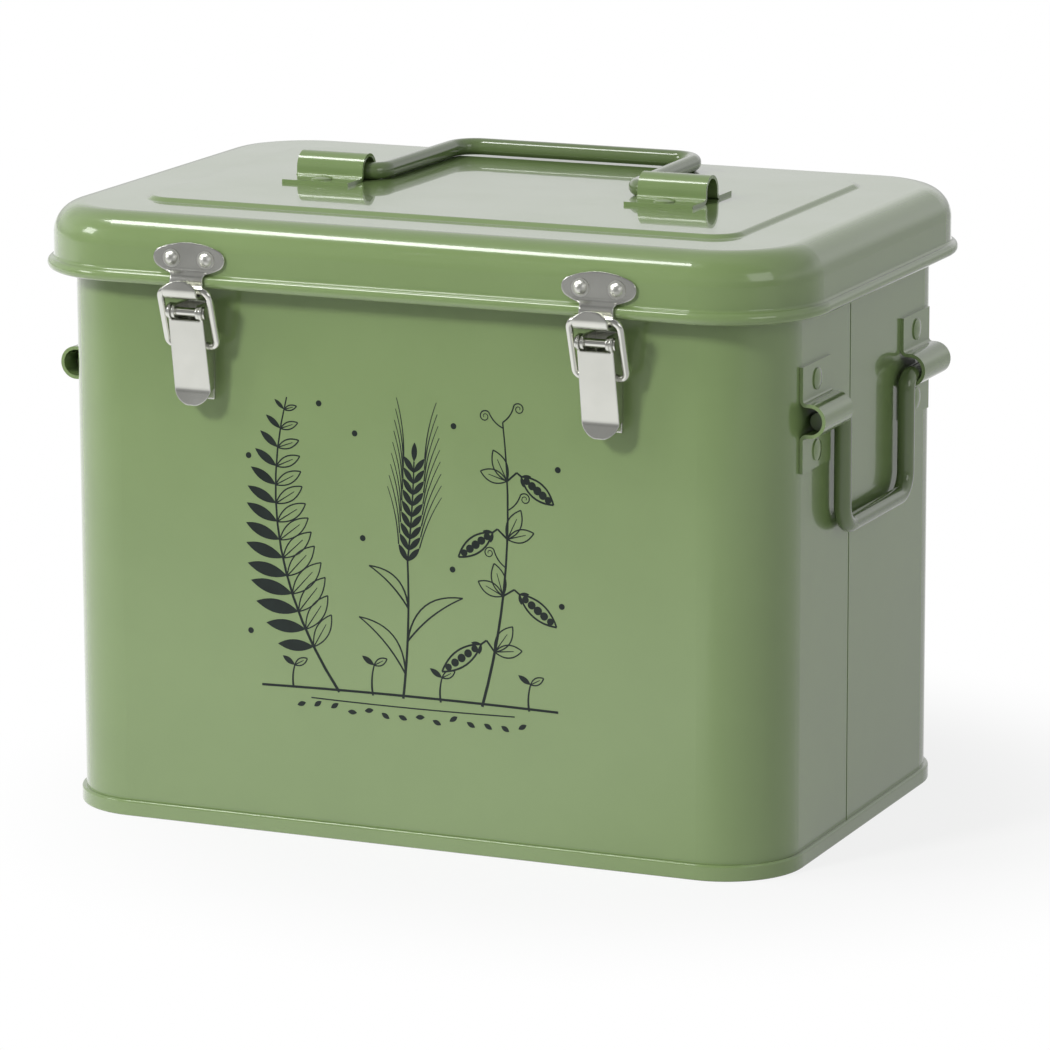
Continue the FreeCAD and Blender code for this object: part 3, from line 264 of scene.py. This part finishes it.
# %% The pen
PEN = 0.5                   # millimetres
FINE_PEN = 0.36
HAIR_PEN = FINE_PEN / 2
CURVE_STEPS = 12
LEAF_LAYERS = 12
STEM_LAYER = LEAF_LAYERS    # over all the leaves
GROUND_LAYER = STEM_LAYER + 1
LAYER_STEP = 0.002          # millimetres
ink_corners = []
ink_faces = []
ink_shapes = []


def outward(heading, degrees, length):
    """A vector of this length, turned from a heading; positive degrees turn it to the left."""
    turn = math.radians(degrees)
    cos, sin = math.cos(turn), math.sin(turn)
    way = heading.normalized()
    return Vector((way.x * cos - way.y * sin, way.x * sin + way.y * cos)) * length


def bowed(start, end, bow):
    """Points from start to end on a curve that swells to the left by this share of its length."""
    start = Vector(start)
    span = Vector(end) - start
    swell = Vector((-span.y, span.x)) * bow
    shares = [step / CURVE_STEPS for step in range(CURVE_STEPS + 1)]
    return [start + span * share + swell * (4 * share * (1 - share)) for share in shares]


def put_down(outline, faces, layer=None):
    """Adds one shape to the sheet on the next layer; after the last layer comes the first again."""
    if layer is None:
        layer = len(ink_shapes) % LEAF_LAYERS
    first = len(ink_corners)
    ink_corners.extend(Vector((point.x, point.y, layer * LAYER_STEP)) for point in outline)
    ink_faces.extend([first + corner for corner in face] for face in faces)
    ink_shapes.append(first)


def draw(points, wide=PEN, end_wide=None, layer=None):
    """Draws a stroke along points, which runs from one width to another."""
    end_wide = wide if end_wide is None else end_wide
    last = len(points) - 1
    edges = []
    for index, point in enumerate(points):
        heading = (points[min(index + 1, last)] - points[max(index - 1, 0)]).normalized()
        half = (wide + (end_wide - wide) * index / last) / 2
        across = Vector((-heading.y, heading.x)) * half
        edges.extend([point + across, point - across])
    put_down(edges, [(near, near + 1, near + 3, near + 2) for near in range(0, 2 * last, 2)], layer)


def draw_stem(points, wide):
    """A stem lies over the leaves and ends fine."""
    draw(points, wide, FINE_PEN, STEM_LAYER)


print("pen widths:", PEN, "and", FINE_PEN, "mm")

# %% Leaves and dots
VEIN_SHARE = 0.7            # of the leaf's length
DOT_SIDES = 16


def leaf_sides(root, tip, wide):
    """The two edges of a pointed leaf."""
    bow = wide / 2 / (Vector(tip) - Vector(root)).length
    return bowed(root, tip, bow), bowed(root, tip, -bow)


def draw_leaf(root, tip, wide):
    """An open leaf with a vein that stops short of its tip."""
    for side in leaf_sides(root, tip, wide):
        draw(side, FINE_PEN)
    vein_end = Vector(root).lerp(Vector(tip), VEIN_SHARE)
    draw(bowed(root, vein_end, 0), FINE_PEN, HAIR_PEN)


def fill_leaf(root, tip, wide):
    """A solid leaf, grain or seed."""
    left, right = leaf_sides(root, tip, wide)
    outline = left + right[-2:0:-1]
    put_down(outline, [range(len(outline))])


def fill_dot(middle, radius):
    """A round dot."""
    turns = [math.tau * step / DOT_SIDES for step in range(DOT_SIDES)]
    outline = [Vector(middle) + Vector((math.cos(turn), math.sin(turn))) * radius for turn in turns]
    put_down(outline, [range(DOT_SIDES)])


def along(points, share):
    """Place and heading at a share of the way along points."""
    spot = share * (len(points) - 1)
    index = min(int(spot), len(points) - 2)
    step = points[index + 1] - points[index]
    return points[index] + step * (spot - index), step


print("corners round a dot:", DOT_SIDES)

# %% [markdown]
# Three plants stand on one ground line: a fern frond, an ear of barley and a pea stem with its pods. Each is
# a loop along its own stem. The fern's leaflets are dark on one side and open on the other, which gives the
# drawing some weight, and so do the filled grains of the ear.

# %% The fern
GROUND = -38.0
STEM_PEN = PEN * 1.6
FERN_PAIRS = 14
FERN_START, FERN_END = 0.16, 0.96       # shares of the stem
FERN_ANGLE = 60
FERN_TAPER = 0.55                       # a lower power keeps the leaves long nearer to the tip
FERN_FOOT_LEAF, FERN_SWELL = 0.4, 2     # share of the longest at the foot, and how fast it grows
FERN_TIP_LEAF = 1.4
DARK_LEAF_WIDTH, OPEN_LEAF_WIDTH = 0.30, 0.36       # shares of the leaf's length


def draw_fern(foot, tip, bow, longest):
    """A frond; its leaves are longest a third of the way up."""
    stem = bowed(foot, tip, bow)
    draw_stem(stem, STEM_PEN)
    for pair in range(FERN_PAIRS):
        share = FERN_START + (FERN_END - FERN_START) * pair / (FERN_PAIRS - 1)
        place, heading = along(stem, share)
        swell = min(1, FERN_FOOT_LEAF + FERN_SWELL * share)
        length = longest * (1 - share) ** FERN_TAPER * swell + FERN_TIP_LEAF
        for side in (-1, 1):
            leaf_tip = place + outward(heading, side * FERN_ANGLE, length)
            if side > 0:
                fill_leaf(place, leaf_tip, length * DARK_LEAF_WIDTH)
            else:
                draw_leaf(place, leaf_tip, length * OPEN_LEAF_WIDTH)


draw_fern((-19, GROUND), (-33, 38), 0.12, 13.5)
print("shapes after the fern:", len(ink_shapes))

# %% The barley
STRAW_PEN = PEN * 1.4
EAR_PAIRS = 9
GRAIN_LENGTH, GRAIN_WIDTH = 5.0, 1.55
GRAIN_ANGLE = 36
AWN, AWN_ANGLE, AWN_BOW = 15.0, 18, 0.04
BLADES = ((0.18, 1, 19), (0.42, -1, 20), (0.66, 1, 15))     # share of the stem, side, length
BLADE_ANGLE = 48
BLADE_BOWS = (0.22, 0.06)


def draw_barley(foot, neck, tip, bow):
    """A stem with three blades, and pairs of grains with awns up the ear."""
    stem = bowed(foot, neck, bow)
    draw(stem, STRAW_PEN, PEN, STEM_LAYER)
    ear = bowed(neck, tip, bow / 2)
    draw_stem(ear, PEN)
    for pair in range(EAR_PAIRS):
        place, heading = along(ear, pair / EAR_PAIRS)
        for side in (-1, 1):
            grain_tip = place + outward(heading, side * GRAIN_ANGLE, GRAIN_LENGTH)
            fill_leaf(place, grain_tip, GRAIN_WIDTH)
            awn_tip = grain_tip + outward(heading, side * (AWN_ANGLE - pair), AWN)
            draw(bowed(grain_tip, awn_tip, -side * AWN_BOW), FINE_PEN, HAIR_PEN)
    fill_leaf(Vector(tip), Vector(tip) + outward(ear[-1] - ear[-2], 0, GRAIN_LENGTH), GRAIN_WIDTH)
    for share, side, length in BLADES:
        place, heading = along(stem, share)
        blade_tip = place + outward(heading, side * BLADE_ANGLE, length)
        for bow_share in BLADE_BOWS:
            draw(bowed(place, blade_tip, -side * bow_share), PEN, FINE_PEN)


draw_barley((-1, GROUND), (0.5, -2), (2.5, 24), -0.02)
print("shapes after the barley:", len(ink_shapes))

# %% A pod and a tendril
POD_LENGTH, POD_WIDTH = 15.0, 4.2
POD_STALK_SHARE = 0.12
SEPAL_LENGTH, SEPAL_WIDTH, SEPAL_ANGLE = 2.8, 1.0, 40
PEAS_IN_POD = 5
PEA_SIZE = 0.27                         # radius, as a share of the pod's width
PEA_TAPER = 1.6
TENDRIL_ANGLE, TENDRIL_BOW = 40, 0.1
CURL_ANGLE, CURL_RADIUS = 130, 0.28     # the radius is a share of the stalk's length
CURL_STEPS = 30
CURL_TURN = 18                          # degrees at each step
CURL_LEFT = 0.2                         # share of the curl's radius that is left at its end


def draw_pod(root, tip, wide):
    """An open pod on a short stalk; the peas are smaller towards both ends."""
    heading = Vector(tip) - Vector(root)
    pod_root = Vector(root) + heading * POD_STALK_SHARE
    draw([Vector(root), pod_root], PEN)
    for side in (-1, 1):
        sepal_tip = pod_root + outward(heading, side * SEPAL_ANGLE, SEPAL_LENGTH)
        fill_leaf(pod_root, sepal_tip, SEPAL_WIDTH)
    for edge in leaf_sides(pod_root, tip, wide):
        draw(edge, PEN)
    for pea in range(PEAS_IN_POD):
        share = (pea + 1) / (PEAS_IN_POD + 1)
        radius = wide * PEA_SIZE * (1 - PEA_TAPER * (share - 0.5) ** 2)
        fill_dot(pod_root.lerp(Vector(tip), share), radius)


def draw_tendril(start, heading, size, side):
    """A stalk that winds up into a small spiral."""
    stalk_tip = Vector(start) + outward(heading, side * TENDRIL_ANGLE, size)
    draw(bowed(start, stalk_tip, side * TENDRIL_BOW), FINE_PEN)
    middle = stalk_tip + outward(heading, side * CURL_ANGLE, size * CURL_RADIUS)
    spoke = stalk_tip - middle
    curl = []
    for step in range(CURL_STEPS + 1):
        shrink = 1 - (1 - CURL_LEFT) * step / CURL_STEPS
        curl.append(middle + outward(spoke, side * CURL_TURN * step, spoke.length * shrink))
    draw(curl, FINE_PEN, HAIR_PEN)


print("peas in a pod:", PEAS_IN_POD)

# %% The peas
PODS = ((0.20, -1), (0.40, 1), (0.60, -1), (0.80, 1))           # share of the stem, side
POD_AT_FOOT, POD_SHRINK = 1.1, 1 / 3            # shares of its length, at the foot and lost up the stem
POD_STALK, POD_STALK_ANGLE = 3.6, 50
POD_DROOP = 0.75                                                # down for each step sideways
TENDRILS = ((0.50, 1), (0.70, -1), (0.98, 1), (1.0, -1))        # share of the stem, side
TENDRIL_LENGTH = 5.5
PEA_LEAVES = ((24, 8.6), (72, 7.6))                             # angle, length
PEA_LEAF_WIDTH = 0.44                                           # of its length


def draw_peas(foot, tip, bow):
    """A stem with tendrils and with pods on stalks, each beside a pair of leaves; lower pods are longer."""
    stem = bowed(foot, tip, bow)
    draw_stem(stem, STEM_PEN)
    for share, side in PODS:
        place, heading = along(stem, share)
        fork = place + outward(heading, -side * POD_STALK_ANGLE, POD_STALK)
        draw([place, fork], PEN)
        length = POD_LENGTH * (POD_AT_FOOT - POD_SHRINK * share)
        draw_pod(fork, fork + outward(Vector((side, -POD_DROOP)), 0, length), POD_WIDTH)
        for degrees, size in PEA_LEAVES:
            leaf_tip = place + outward(heading, side * degrees, size)
            draw_leaf(place, leaf_tip, size * PEA_LEAF_WIDTH)
    for share, side in TENDRILS:
        place, heading = along(stem, share)
        draw_tendril(place, heading, TENDRIL_LENGTH, side)


draw_peas((21, GROUND), (27, 36), -0.05)
print("shapes after the peas:", len(ink_shapes))

# %% [markdown]
# The ground is one long stroke and a shorter one under it, with a row of seeds sown below and four seedlings
# just up. The seeds lie at odd angles, so they come from a seeded draw of random numbers, which gives the
# same row each time. A few loose dots fill the air between the plants.

# %% The ground and its seeds
GROUND_LINE = ((-41, GROUND), (42, GROUND + 0.5))
UNDER_LINE = ((-27, GROUND - 2.2), (30, GROUND - 1.8))
GROUND_BOW = 0.006
GROUND_PEN = PEN * 1.3
SEEDS_IN_ROW = 14
SEEDS_LEFT, SEEDS_RIGHT = -31, 31
SEED_DEPTH = 4.6
SEED_SHIFT, SEED_TILT = 0.3, 40         # up or down, and in degrees, at most
SEED_LENGTH, SEED_WIDTH = 2.6, 1.3

dice = random.Random(5)
draw(bowed(*GROUND_LINE, GROUND_BOW), GROUND_PEN, layer=GROUND_LAYER)
draw(bowed(*UNDER_LINE, -GROUND_BOW), FINE_PEN)
for number in range(SEEDS_IN_ROW):
    across = SEEDS_LEFT + (SEEDS_RIGHT - SEEDS_LEFT) * number / (SEEDS_IN_ROW - 1)
    root = Vector((across, GROUND - SEED_DEPTH + dice.uniform(-SEED_SHIFT, SEED_SHIFT)))
    tilt = dice.uniform(-SEED_TILT, SEED_TILT)
    fill_leaf(root, root + outward(Vector((1, 0)), tilt, SEED_LENGTH), SEED_WIDTH)
print("seeds:", SEEDS_IN_ROW)

# %% The seedlings and the dots
SEEDLINGS = ((-9.5, 8.0), (9.5, 6.5), (34.0, 7.0), (-32.0, 6.0))     # across, height
SPROUT_PEN = PEN * 1.2
SPROUT_LEAN, SPROUT_BOW = 0.4, 0.06
DARK_SPROUT_LEAF, DARK_SPROUT_WIDTH = Vector((-3.4, 2.2)), 1.5
OPEN_SPROUT_LEAF, OPEN_SPROUT_WIDTH = Vector((3.6, 2.0)), 1.8
DOTS = ((-44, 22), (-24, 37), (-14, 30), (-12, 3), (13.5, 34), (13, -3), (42, 25), (43, -10), (-44, -24))
DOT_RADIUS = 0.8

for across, tall in SEEDLINGS:
    top = Vector((across + SPROUT_LEAN, GROUND + tall))
    draw_stem(bowed((across, GROUND), top, SPROUT_BOW), SPROUT_PEN)
    fill_leaf(top, top + DARK_SPROUT_LEAF, DARK_SPROUT_WIDTH)
    draw_leaf(top, top + OPEN_SPROUT_LEAF, OPEN_SPROUT_WIDTH)
for dot in DOTS:
    fill_dot(dot, DOT_RADIUS)
print("shapes on the sheet:", len(ink_shapes))

# %% [markdown]
# Now the sheet goes onto the tin. Its middle is set from the floor and from the middle of the front, and its
# depth comes from the back of the latch bases, which lie flat on the same wall. The film rides on the tin.
# Its ink is nearly black, a little uneven as screen ink is, and duller than the enamel round it.

# %% The ink
INK_DARK = (0.006, 0.012, 0.009)
INK_LIGHT = (0.011, 0.019, 0.016)
INK_PATCH_SIZE = 0.003
INK_HAZE = (0.34, 0.48)
PORE_SIZE, PORE_DEPTH = 0.0004, 0.000003


def make_ink():
    """Dark, half dull ink with fine pores."""
    finish, tree, shader = new_finish("screen_ink", Roughness=0.4, IOR=1.45)
    patches = surface_noise(tree, INK_PATCH_SIZE)
    tone = blend_of(tree, patches, INK_DARK, INK_LIGHT)
    join(tree, tone, "Color", shader, "Base Color")
    roughness = range_of(tree, patches, *INK_HAZE)
    join(tree, roughness, "Result", shader, "Roughness")
    pores = surface_noise(tree, PORE_SIZE, detail=2.0)
    raised_by(tree, shader, [(pores, PORE_DEPTH)])
    return finish


INK = make_ink()
print("ink:", INK.name)

# %% The film
MM = 0.001
PRINT_ACROSS, PRINT_UP = 0.0006, 0.0770      # its middle, in metres
FILM_THICKNESS = 0.00002


def make_print():
    """Turns the sheet into a thin film on the front wall."""
    wall_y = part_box("latch_base_left")[1][1]        # the latch base's back
    mesh = bpy.data.meshes.new("front_print")
    corners = []
    for spot in ink_corners:
        corners.append((PRINT_ACROSS + spot.x * MM, wall_y - spot.z * MM, PRINT_UP + spot.y * MM))
    mesh.from_pydata(corners, [], ink_faces)
    film = bpy.data.objects.new("front_print", mesh)
    bpy.context.scene.collection.objects.link(film)
    mesh.materials.append(INK)
    thick = film.modifiers.new("thickness", "SOLIDIFY")
    thick.thickness = FILM_THICKNESS
    thick.offset = 0
    film.location.y = -FILM_THICKNESS / 2
    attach(film, "tin")
    return film


FILM = make_print()
print("print:", [round(value * 1000, 1) for value in FILM.dimensions], "mm")

# %% [markdown]
# ## Camera
# The camera stands to the right of the front and a little above the lid, far away with a long lens, which
# keeps upright edges almost parallel. It is placed by its direction, its distance and how far its axis
# passes beside the middle of the tin. The Standard view hands the colours over as they are, without a film
# look of its own.

# %% The camera
CAMERA_AZIMUTH = math.radians(23.54)
CAMERA_ELEVATION = math.radians(12.39)
CAMERA_ROLL = math.radians(-0.2)
CAMERA_DISTANCE = 1.535
CAMERA_ASIDE = 0.00488
CAMERA_ABOVE = -0.00861
CAMERA_FOCAL_PIXELS = 5826
PICTURE_PIXELS = 1050
SENSOR_WIDTH = 36.0
FAR_CLIP = 20
MIDDLE = Vector((0, 0, 0.080))

back = Vector((
    math.sin(CAMERA_AZIMUTH) * math.cos(CAMERA_ELEVATION),
    -math.cos(CAMERA_AZIMUTH) * math.cos(CAMERA_ELEVATION),
    math.sin(CAMERA_ELEVATION),
))
level_right = Vector((math.cos(CAMERA_AZIMUTH), math.sin(CAMERA_AZIMUTH), 0))
level_up = back.cross(level_right)
right = level_right * math.cos(CAMERA_ROLL) + level_up * math.sin(CAMERA_ROLL)
up = level_up * math.cos(CAMERA_ROLL) - level_right * math.sin(CAMERA_ROLL)
lens = bpy.data.cameras.new("lens")
lens.sensor_width = SENSOR_WIDTH
lens.lens = CAMERA_FOCAL_PIXELS / PICTURE_PIXELS * SENSOR_WIDTH
lens.clip_end = FAR_CLIP
camera = bpy.data.objects.new("camera", lens)
bpy.context.scene.collection.objects.link(camera)
turn = Matrix((right, up, back)).transposed().to_4x4()
place = MIDDLE + back * CAMERA_DISTANCE + right * CAMERA_ASIDE + up * CAMERA_ABOVE
camera.matrix_world = Matrix.Translation(place) @ turn
bpy.context.scene.camera = camera
bpy.context.scene.view_settings.view_transform = "Standard"
print("lens:", round(lens.lens, 1), "mm at", tuple(round(value, 3) for value in place))

# %% [markdown]
# ## The sky and the floor
# A glossy tin shows what stands around it, so the room matters as much as the lamps. In a studio the tin
# stands on a white sweep, and beyond the sweep, towards the front, the room is darker. The sky here is plain
# white where the camera looks. As a light it is dimmer, so that the lamps still draw shadows. In reflections
# it is brightest a little above the horizon at the back and sides, and dimmed at the front.

# %% Helpers for the room
def grey_ramp(tree, stops):
    """Colour ramp of greys from (place, brightness) pairs."""
    ramp = add_node(tree, "ShaderNodeValToRGB")
    ramp.color_ramp.interpolation = "EASE"
    marks = ramp.color_ramp.elements
    while len(marks) < len(stops):
        marks.new(0.5)
    for mark, (place, brightness) in zip(marks, stops):
        mark.position = place
        mark.color = (brightness, brightness, brightness, 1)
    return ramp


def mix_of(tree, source, output, otherwise, chosen):
    """Mixes two shaders: otherwise where the source's output is 0, chosen where it is 1."""
    choice = add_node(tree, "ShaderNodeMixShader")
    join(tree, source, output, choice, "Fac")
    tree.links.new(otherwise.outputs[0], choice.inputs[1])
    tree.links.new(chosen.outputs[0], choice.inputs[2])
    return choice


def fall_off(tree, source, socket, span, start, end):
    """Smooth change from start to end while the source moves over the span."""
    change = add_node(tree, "ShaderNodeMapRange", {
        "From Min": span[0], "From Max": span[1], "To Min": start, "To Max": end,
    }, interpolation_type="SMOOTHSTEP")
    join(tree, source, socket, change, "Value")
    return change


print("room helpers are ready")

# %% The sky
WHITE = (1, 1, 1, 1)
SKY_TINT = (0.96, 0.98, 1.0, 1)
SKY_LIGHT = 0.27
SKY_HEIGHTS = ((0.0, 0.55), (0.21, 0.86), (0.5, 0.6), (1.0, 0.42))   # z of the direction, brightness
DARK_FRONT = 0.38                       # share of that which is left at the front
DARK_REACH = (-0.4, 0.1)                # y of the direction, where it is dimmest and where not dimmed


def make_sky():
    """A world that is white to the camera, dimmer as a light, and shaded by direction in reflections."""
    world = bpy.data.worlds.new("sky")
    world.use_nodes = True
    tree = world.node_tree
    tree.nodes.clear()
    out = add_node(tree, "ShaderNodeOutputWorld")
    rays = add_node(tree, "ShaderNodeLightPath")
    lit = add_node(tree, "ShaderNodeBackground", {"Color": SKY_TINT, "Strength": SKY_LIGHT})
    seen = add_node(tree, "ShaderNodeBackground", {"Color": WHITE, "Strength": 1.0})
    mirrored = add_node(tree, "ShaderNodeBackground", {"Color": WHITE})

    way = add_node(tree, "ShaderNodeTexCoord")
    parts = add_node(tree, "ShaderNodeSeparateXYZ")
    join(tree, way, "Generated", parts, "Vector")
    heights = grey_ramp(tree, SKY_HEIGHTS)
    join(tree, parts, "Z", heights, "Fac")
    front = fall_off(tree, parts, "Y", DARK_REACH, DARK_FRONT, 1.0)
    strength = add_node(tree, "ShaderNodeMath", operation="MULTIPLY")
    join(tree, heights, "Color", strength, 0)
    join(tree, front, "Result", strength, 1)
    join(tree, strength, "Value", mirrored, "Strength")

    for_gloss = mix_of(tree, rays, "Is Glossy Ray", lit, mirrored)
    choice = mix_of(tree, rays, "Is Camera Ray", for_gloss, seen)
    tree.links.new(choice.outputs[0], out.inputs["Surface"])
    return world


bpy.context.scene.world = make_sky()
print("sky light:", SKY_LIGHT)

# %% [markdown]
# The floor is a matt white sheet for the light that bounces off it. The camera sees it brightened to plain
# white, apart from a patch round the tin where its shadow stays. Reflections see it bright under the tin and
# darker to the front and to the right, as a sweep is where the lamps don't reach.

# %% The floor's sheet
FLOOR_SIZE = 3.0                        # from its middle to its edge
FLOOR_SQUARES = 8                       # along each side


def make_floor():
    """A large flat sheet under the tin."""
    shape = bmesh.new()
    bmesh.ops.create_grid(shape, x_segments=FLOOR_SQUARES, y_segments=FLOOR_SQUARES, size=FLOOR_SIZE)
    mesh = bpy.data.meshes.new("floor")
    shape.to_mesh(mesh)
    shape.free()
    floor = bpy.data.objects.new("floor", mesh)
    bpy.context.scene.collection.objects.link(floor)
    return floor


FLOOR = make_floor()
print("floor:", round(FLOOR.dimensions.x, 1), "m across")

# %% The floor's finish
FLOOR_DARK = (0.80, 0.80, 0.80)
FLOOR_LIGHT = (0.83, 0.83, 0.83)
FLOOR_PATCH_SIZE = 0.2
SHADOW_MIDDLE = (0.03, 0.0, 0.0)    # a little to the right of the tin's middle, away from the key lamp
SHADOW_REACH = (0.09, 0.18)         # from there: the shadow shows fully, and not at all
SHADOW_SHOWN = 0.17
FRONT_FALL = (-0.68, -0.16)         # the reflected floor darkens from the second value of y to the first
FRONT_DARK = 0.30
SIDE_FALL = (0.0, 0.12)             # and from the first value of x to the second
SIDE_DARK = 0.52


def make_floor_paint():
    """Matt white paint that keeps the tin's shadow and is shaded by place in reflections."""
    paint, tree, shader = new_finish("floor_paint", Roughness=0.9)
    patches = surface_noise(tree, FLOOR_PATCH_SIZE)
    tone = blend_of(tree, patches, FLOOR_DARK, FLOOR_LIGHT)
    join(tree, tone, "Color", shader, "Base Color")
    rays = add_node(tree, "ShaderNodeLightPath")
    place = add_node(tree, "ShaderNodeTexCoord")
    parts = add_node(tree, "ShaderNodeSeparateXYZ")
    join(tree, place, "Object", parts, "Vector")

    away = add_node(tree, "ShaderNodeVectorMath", {1: SHADOW_MIDDLE}, operation="SUBTRACT")
    join(tree, place, "Object", away, 0)
    reach = add_node(tree, "ShaderNodeVectorMath", operation="LENGTH")
    join(tree, away, "Vector", reach, "Vector")
    white = add_node(tree, "ShaderNodeEmission", {"Color": WHITE, "Strength": 1.0})
    share = fall_off(tree, reach, "Value", SHADOW_REACH, 1 - SHADOW_SHOWN, 1.0)
    seen = mix_of(tree, share, "Result", shader, white)

    front = fall_off(tree, parts, "Y", FRONT_FALL, FRONT_DARK, 1.0)
    side = fall_off(tree, parts, "X", SIDE_FALL, 1.0, SIDE_DARK)
    least = add_node(tree, "ShaderNodeMath", operation="MINIMUM")
    join(tree, front, "Result", least, 0)
    join(tree, side, "Result", least, 1)
    mirrored = add_node(tree, "ShaderNodeEmission", {"Color": WHITE})
    join(tree, least, "Value", mirrored, "Strength")

    for_gloss = mix_of(tree, rays, "Is Glossy Ray", shader, mirrored)
    choice = mix_of(tree, rays, "Is Camera Ray", for_gloss, seen)
    tree.links.new(choice.outputs[0], tree.nodes["Material Output"].inputs["Surface"])
    return paint


FLOOR.data.materials.append(make_floor_paint())
print("floor finish:", FLOOR.data.materials[0].name)

# %% [markdown]
# ## The lamps
# The key lamp stands at the front left and casts the short shadows beside the latches. It is small, so their
# edges are crisp, and it isn't mirrored, because a small bright lamp would burn a hole into the gloss. What
# the gloss shows instead are dimmer, larger lamps. A long strip high up draws the line along the rounded
# edge of the lid. A glow from the left and a soft fill from the right lift the shadows.
#
# Enamel and bright metal want different lamps, and a lamp can be told which solids it lights. The strip
# leaves out the latches, whose sloping plates would send it straight back. The plated pieces have three lamps
# of their own: one from the left for the flat levers, one above for the rivet heads and the bent wires, and
# one above and behind that draws the bright rims of the plates.

# %% Lamps and what they light
def add_lamp(name, place, size, watts, mirrored=True, onto=None):
    """A soft lamp turned to the middle of the tin, which may light only one group."""
    light = bpy.data.lights.new(name, "AREA")
    light.shape = "RECTANGLE"
    light.size, light.size_y = size
    light.energy = watts
    lamp = bpy.data.objects.new(name, light)
    bpy.context.scene.collection.objects.link(lamp)
    lamp.location = place
    lamp.rotation_euler = (MIDDLE - Vector(place)).to_track_quat("-Z", "Y").to_euler()
    lamp.visible_glossy = mirrored
    if onto is not None:
        lamp.light_linking.receiver_collection = onto
    return lamp


def group_of(name, finishes):
    """A collection of the solids that have one of these finishes."""
    group = bpy.data.collections.new(name)
    for node_name, solid in NODES.items():
        if finish_of(node_name) in finishes:
            group.objects.link(solid)
    return group


PLATED = group_of("plated", (PLATE_NICKEL, WIRE_NICKEL, RIVET_NICKEL))
ROUND_PLATED = group_of("round_plated", (WIRE_NICKEL, RIVET_NICKEL))
ENAMELLED = group_of("enamelled", (SHEET_ENAMEL, WIRE_ENAMEL_PAINTED_DARKER))
ENAMELLED.objects.link(FLOOR)
ENAMELLED.objects.link(FILM)

# %% The lamps
add_lamp("key", place=(-0.72, -1.43, 1.12), size=(0.3, 0.3), watts=18, mirrored=False)
add_lamp("high_strip", place=(-0.80, -0.50, 1.75), size=(0.8, 0.24), watts=6.5, onto=ENAMELLED)
add_lamp("plate_glow", place=(-1.45, -0.95, 0.80), size=(0.6, 0.6), watts=7, onto=PLATED)
add_lamp("dome_glow", place=(-0.5, 0.1, 1.45), size=(1.0, 0.8), watts=22, onto=ROUND_PLATED)
add_lamp("rim_glow", place=(-0.4, 0.80, 1.35), size=(1.3, 0.6), watts=16, onto=PLATED)
add_lamp("side_glow", place=(-1.5, -0.95, 0.95), size=(0.5, 0.5), watts=5)
add_lamp("fill", place=(1.6, -0.9, 0.9), size=(0.9, 0.9), watts=3.5)
